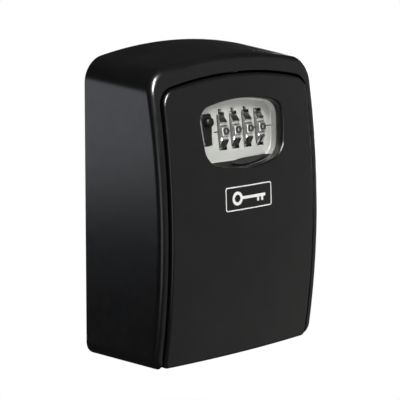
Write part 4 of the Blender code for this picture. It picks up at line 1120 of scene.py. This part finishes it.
def build_spring():
    """The slide's coil spring, coiled up through the bounds of the CAD spring that it stands for."""
    to_lock = LOCK_FRAME.inverted()
    points = [to_lock @ vertex.co for vertex in NODES["latch_spring"].data.vertices]
    low, high = (Vector(pick(point[axis] for point in points) for axis in range(3)) for pick in (min, max))
    middle = (low + high) / 2
    foot = low.z + SPRING_WIRE_RADIUS
    height = high.z - low.z - 2 * SPRING_WIRE_RADIUS
    coil_radius = (high.x - low.x) / 2 - SPRING_WIRE_RADIUS
    wire = bpy.data.curves.new("wire", "CURVE")
    wire.dimensions = "3D"
    wire.bevel_depth = SPRING_WIRE_RADIUS
    wire.bevel_resolution = SPRING_BEVEL_STEPS
    wire.use_fill_caps = True
    spline = wire.splines.new("POLY")
    count = SPRING_TURNS * SPRING_STEPS
    spline.points.add(count)
    for step in range(count + 1):
        angle = 2 * math.pi * step / SPRING_STEPS
        x = middle.x + coil_radius * math.cos(angle)
        y = middle.y + coil_radius * math.sin(angle)
        spline.points[step].co = (x, y, foot + height * step / count, 1.0)
    mesh = curve_mesh(wire)
    mesh.transform(LOCK_FRAME)
    spring = new_object("return_spring", mesh)
    mesh.materials.clear()
    mesh.materials.append(SPRING)
    mesh.shade_smooth()
    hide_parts("latch_spring")
    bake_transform(spring)


# ---------------------------------------------------------------- badge

def rounded_rectangle(half_width, half_height, radius, centre):
    for corner, (sx, sz) in enumerate(((1, 1), (-1, 1), (-1, -1), (1, -1))):
        for step in range(BADGE_CORNER_STEPS + 1):
            angle = math.pi / 2 * (corner + step / BADGE_CORNER_STEPS)
            x = sx * (half_width - radius) + radius * math.cos(angle)
            z = sz * (half_height - radius) + radius * math.sin(angle)
            yield (centre[0] + x, centre[1] + z)


def divided(points, count):
    """The closed outline with each side cut into as many equal stretches as count says for its length."""
    points = list(points)
    found = []
    for (x0, z0), (x1, z1) in zip(points, points[1:] + points[:1]):
        pieces = count(math.hypot(x1 - x0, z1 - z0))
        found += [(x0 + (x1 - x0) * i / pieces, z0 + (z1 - z0) * i / pieces) for i in range(pieces)]
    return found


def badge_edge(points):
    """The outline with its four straight sides divided alike, whatever its size."""
    return divided(points, lambda length: BADGE_SIDE_STEPS if length > BADGE_RADIUS else 1)


def on_door(points, over):
    return [Vector((x, door_y(x, z) - over, z)) for x, z in points]


def band(name, outer, inner):
    """A closed raised line between two outlines of equal count, laid on the door."""
    edges = ((outer, -PRINT_SUNK), (outer, PRINT_PROUD), (inner, PRINT_PROUD), (inner, -PRINT_SUNK))
    return loft(name, [on_door(points, over) for points, over in edges], closed=True)


def build_badge():
    """A generic badge: a round-cornered outline around a plain key."""
    centre = (0.0, BADGE_CENTRE_Z)
    outer = rounded_rectangle(BADGE_HALF_WIDTH, BADGE_HALF_HEIGHT, BADGE_RADIUS, centre)
    line = BADGE_LINE
    inner = rounded_rectangle(BADGE_HALF_WIDTH - line, BADGE_HALF_HEIGHT - line, BADGE_RADIUS - line, centre)
    pieces = [band("badge_outline", badge_edge(outer), badge_edge(inner))]
    bow_x = -KEY_LENGTH / 2 + KEY_BOW_RADIUS
    angles = [2 * math.pi * step / KEY_BOW_STEPS for step in range(KEY_BOW_STEPS)]
    circle = [(math.cos(angle), math.sin(angle)) for angle in angles]
    bow = [(bow_x + KEY_BOW_RADIUS * c, BADGE_CENTRE_Z + KEY_BOW_RADIUS * s) for c, s in circle]
    eye = [(bow_x + KEY_EYE_RADIUS * c, BADGE_CENTRE_Z + KEY_EYE_RADIUS * s) for c, s in circle]
    pieces.append(band("badge_key_bow", bow, eye))
    half = KEY_SHAFT / 2
    start = bow_x + math.sqrt(KEY_BOW_RADIUS**2 - half**2)
    tip = KEY_LENGTH / 2
    edge = [(start, -half)]
    for share in KEY_BIT_SHARES:
        near = KEY_LENGTH * share
        far = near + KEY_BIT_WIDTH
        edge += [(near, -half), (near, -half - KEY_BIT), (far, -half - KEY_BIT), (far, -half)]
    edge += [(tip, -half), (tip, half), (start, half)]
    edge = [(x, BADGE_CENTRE_Z + z) for x, z in edge]
    shaft = divided(edge, lambda length: max(1, math.ceil(length / KEY_BIT_WIDTH)))
    pieces.append(loft("badge_key_shaft", [on_door(shaft, -PRINT_SUNK), on_door(shaft, PRINT_PROUD)]))
    for piece in pieces:
        dress(piece, PRINT, "door", "black_cast")


# ---------------------------------------------------------------- studio

CAMERA_PLACE = Vector((-0.552007, -0.577941, 0.215470))
CAMERA_TARGET = Vector((-0.003327, 0.002991, 0.068290))
CAMERA_ROLL = math.radians(0.2358)
CAMERA_LENS = 160.29
CAMERA_SENSOR = 36.0
CAMERA_NEAR = 0.05
FLOOR_HALF_SIZE = 6.0
FLOOR_CELLS = 8
FLOOR_DROP = 0.042
FLOOR_NEAR = 0.0
FLOOR_FAR = 0.06
PALE_SIDE = (0.68, -0.70, -0.12)
PALE_SIDE_EDGE = 0.60
PALE_SIDE_CORE = 0.93
STUDIO_DARK = 0.025
STUDIO_PALE = 0.50
STUDIO_TINT = (1.0, 0.97, 0.93)
OBJECT_MIDDLE = (0.0, 0.0, 0.07)
PLAIN_WHITE = (1.0, 1.0, 1.0)
COOL_WHITE = (0.88, 0.93, 1.0)
# Name, place, target, size, watts and colour of each light, and the kind of light that it leaves out.
LIGHTS = (
    ("highlight_light", (-0.29, -0.68, 0.74), OBJECT_MIDDLE, (0.16, 0.62), 46.0, PLAIN_WHITE, "diffuse"),
    ("fill_light", (0.24, -0.80, 0.72), OBJECT_MIDDLE, (0.40, 0.40), 8.0, PLAIN_WHITE, "glossy"),
    ("side_light", (-0.40, 0.34, 0.09), (-0.05, 0.0, 0.09), (0.40, 0.20), 0.55, COOL_WHITE, None),
    ("edge_light", (0.62, 0.30, 0.10), OBJECT_MIDDLE, (0.30, 0.30), 2.2, PLAIN_WHITE, None),
    ("rim_light", (-0.60, -0.62, -0.04), OBJECT_MIDDLE, (0.30, 0.40), 1.0, PLAIN_WHITE, "diffuse"),
    ("floor_light", (0.0, 0.1, 1.6), (0.0, 0.0, 0.0), (1.6, 1.6), 34.0, PLAIN_WHITE, "glossy"),
)


def build_camera():
    camera = new_object("camera", bpy.data.cameras.new("camera"))
    camera.data.lens = CAMERA_LENS
    camera.data.sensor_width = CAMERA_SENSOR
    camera.data.clip_start = CAMERA_NEAR
    aim = (CAMERA_TARGET - CAMERA_PLACE).to_track_quat("-Z", "Y").to_matrix().to_4x4()
    camera.matrix_world = Matrix.Translation(CAMERA_PLACE) @ aim @ Matrix.Rotation(CAMERA_ROLL, 4, "Z")
    bpy.context.scene.camera = camera


def softbox(name, place, target, size, watts, colour, left_out):
    light = bpy.data.lights.new(name, "AREA")
    light.shape = "RECTANGLE"
    light.size = size[0]
    light.size_y = size[1]
    light.energy = watts
    light.color = colour
    lamp = new_object(name, light)
    lamp.location = place
    lamp.rotation_euler = (Vector(target) - Vector(place)).to_track_quat("-Z", "Y").to_euler()
    lamp.visible_camera = False
    lamp.visible_diffuse = left_out != "diffuse"
    lamp.visible_glossy = left_out != "glossy"


def floor_look():
    """A pale matt floor round the object, which turns to plain white further out."""
    look = Look("pale_floor", (0.90, 0.90, 0.90), 0.8, 0.0, 0.0)
    look.tint(look.noise(9), (0.89, 0.89, 0.89), (0.91, 0.91, 0.91))
    length = look.nodes.new("ShaderNodeVectorMath")
    length.operation = "LENGTH"
    look.links.new(look.coordinates, length.inputs[0])
    share = look.ranged(length.outputs["Value"], 0.0, 1.0, FLOOR_NEAR, FLOOR_FAR)
    white = look.nodes.new("ShaderNodeEmission")
    mix = look.nodes.new("ShaderNodeMixShader")
    look.links.new(share, mix.inputs["Fac"])
    look.links.new(look.shader.outputs["BSDF"], mix.inputs[1])
    look.links.new(white.outputs["Emission"], mix.inputs[2])
    look.links.new(mix.outputs["Shader"], look.nodes["Material Output"].inputs["Surface"])
    return look.material


def build_floor():
    bm = bmesh.new()
    bmesh.ops.create_grid(bm, x_segments=FLOOR_CELLS, y_segments=FLOOR_CELLS, size=FLOOR_HALF_SIZE)
    floor = mesh_object("floor", bm)
    floor.location.z = CAD_BOX[0][2] - FLOOR_DROP
    floor.data.materials.append(floor_look())
    floor.visible_glossy = False


def build_world():
    """White behind the object, and around it a dim studio with a broad pale front on the right."""
    world = bpy.data.worlds.new("studio")
    world.use_nodes = True
    nodes = world.node_tree.nodes
    links = world.node_tree.links
    direction = nodes.new("ShaderNodeTexCoord").outputs["Generated"]
    facing = nodes.new("ShaderNodeVectorMath")
    facing.operation = "DOT_PRODUCT"
    facing.inputs[1].default_value = PALE_SIDE
    links.new(direction, facing.inputs[0])
    ramp = nodes.new("ShaderNodeMapRange")
    ramp.interpolation_type = "SMOOTHSTEP"
    ramp.inputs["From Min"].default_value = PALE_SIDE_EDGE
    ramp.inputs["From Max"].default_value = PALE_SIDE_CORE
    ramp.inputs["To Min"].default_value = STUDIO_DARK
    ramp.inputs["To Max"].default_value = STUDIO_PALE
    links.new(facing.outputs["Value"], ramp.inputs["Value"])
    background = nodes["Background"]
    background.inputs["Color"].default_value = (*STUDIO_TINT, 1.0)
    links.new(ramp.outputs["Result"], background.inputs["Strength"])
    white = nodes.new("ShaderNodeBackground")
    white.inputs["Color"].default_value = (1.0, 1.0, 1.0, 1.0)
    path = nodes.new("ShaderNodeLightPath")
    mix = nodes.new("ShaderNodeMixShader")
    links.new(path.outputs["Is Camera Ray"], mix.inputs["Fac"])
    links.new(background.outputs["Background"], mix.inputs[1])
    links.new(white.outputs["Background"], mix.inputs[2])
    links.new(mix.outputs["Shader"], nodes["World Output"].inputs["Surface"])
    bpy.context.scene.world = world


def build_studio():
    build_floor()
    build_world()
    for light in LIGHTS:
        softbox(*light)
    bpy.context.scene.view_settings.view_transform = "Standard"


dress_frame_nodes()
build_housing()
build_door()
build_plate()
build_scoop()
build_wheels()
build_lever()
build_spring()
build_badge()
build_camera()
build_studio()

bpy.context.view_layer.update()
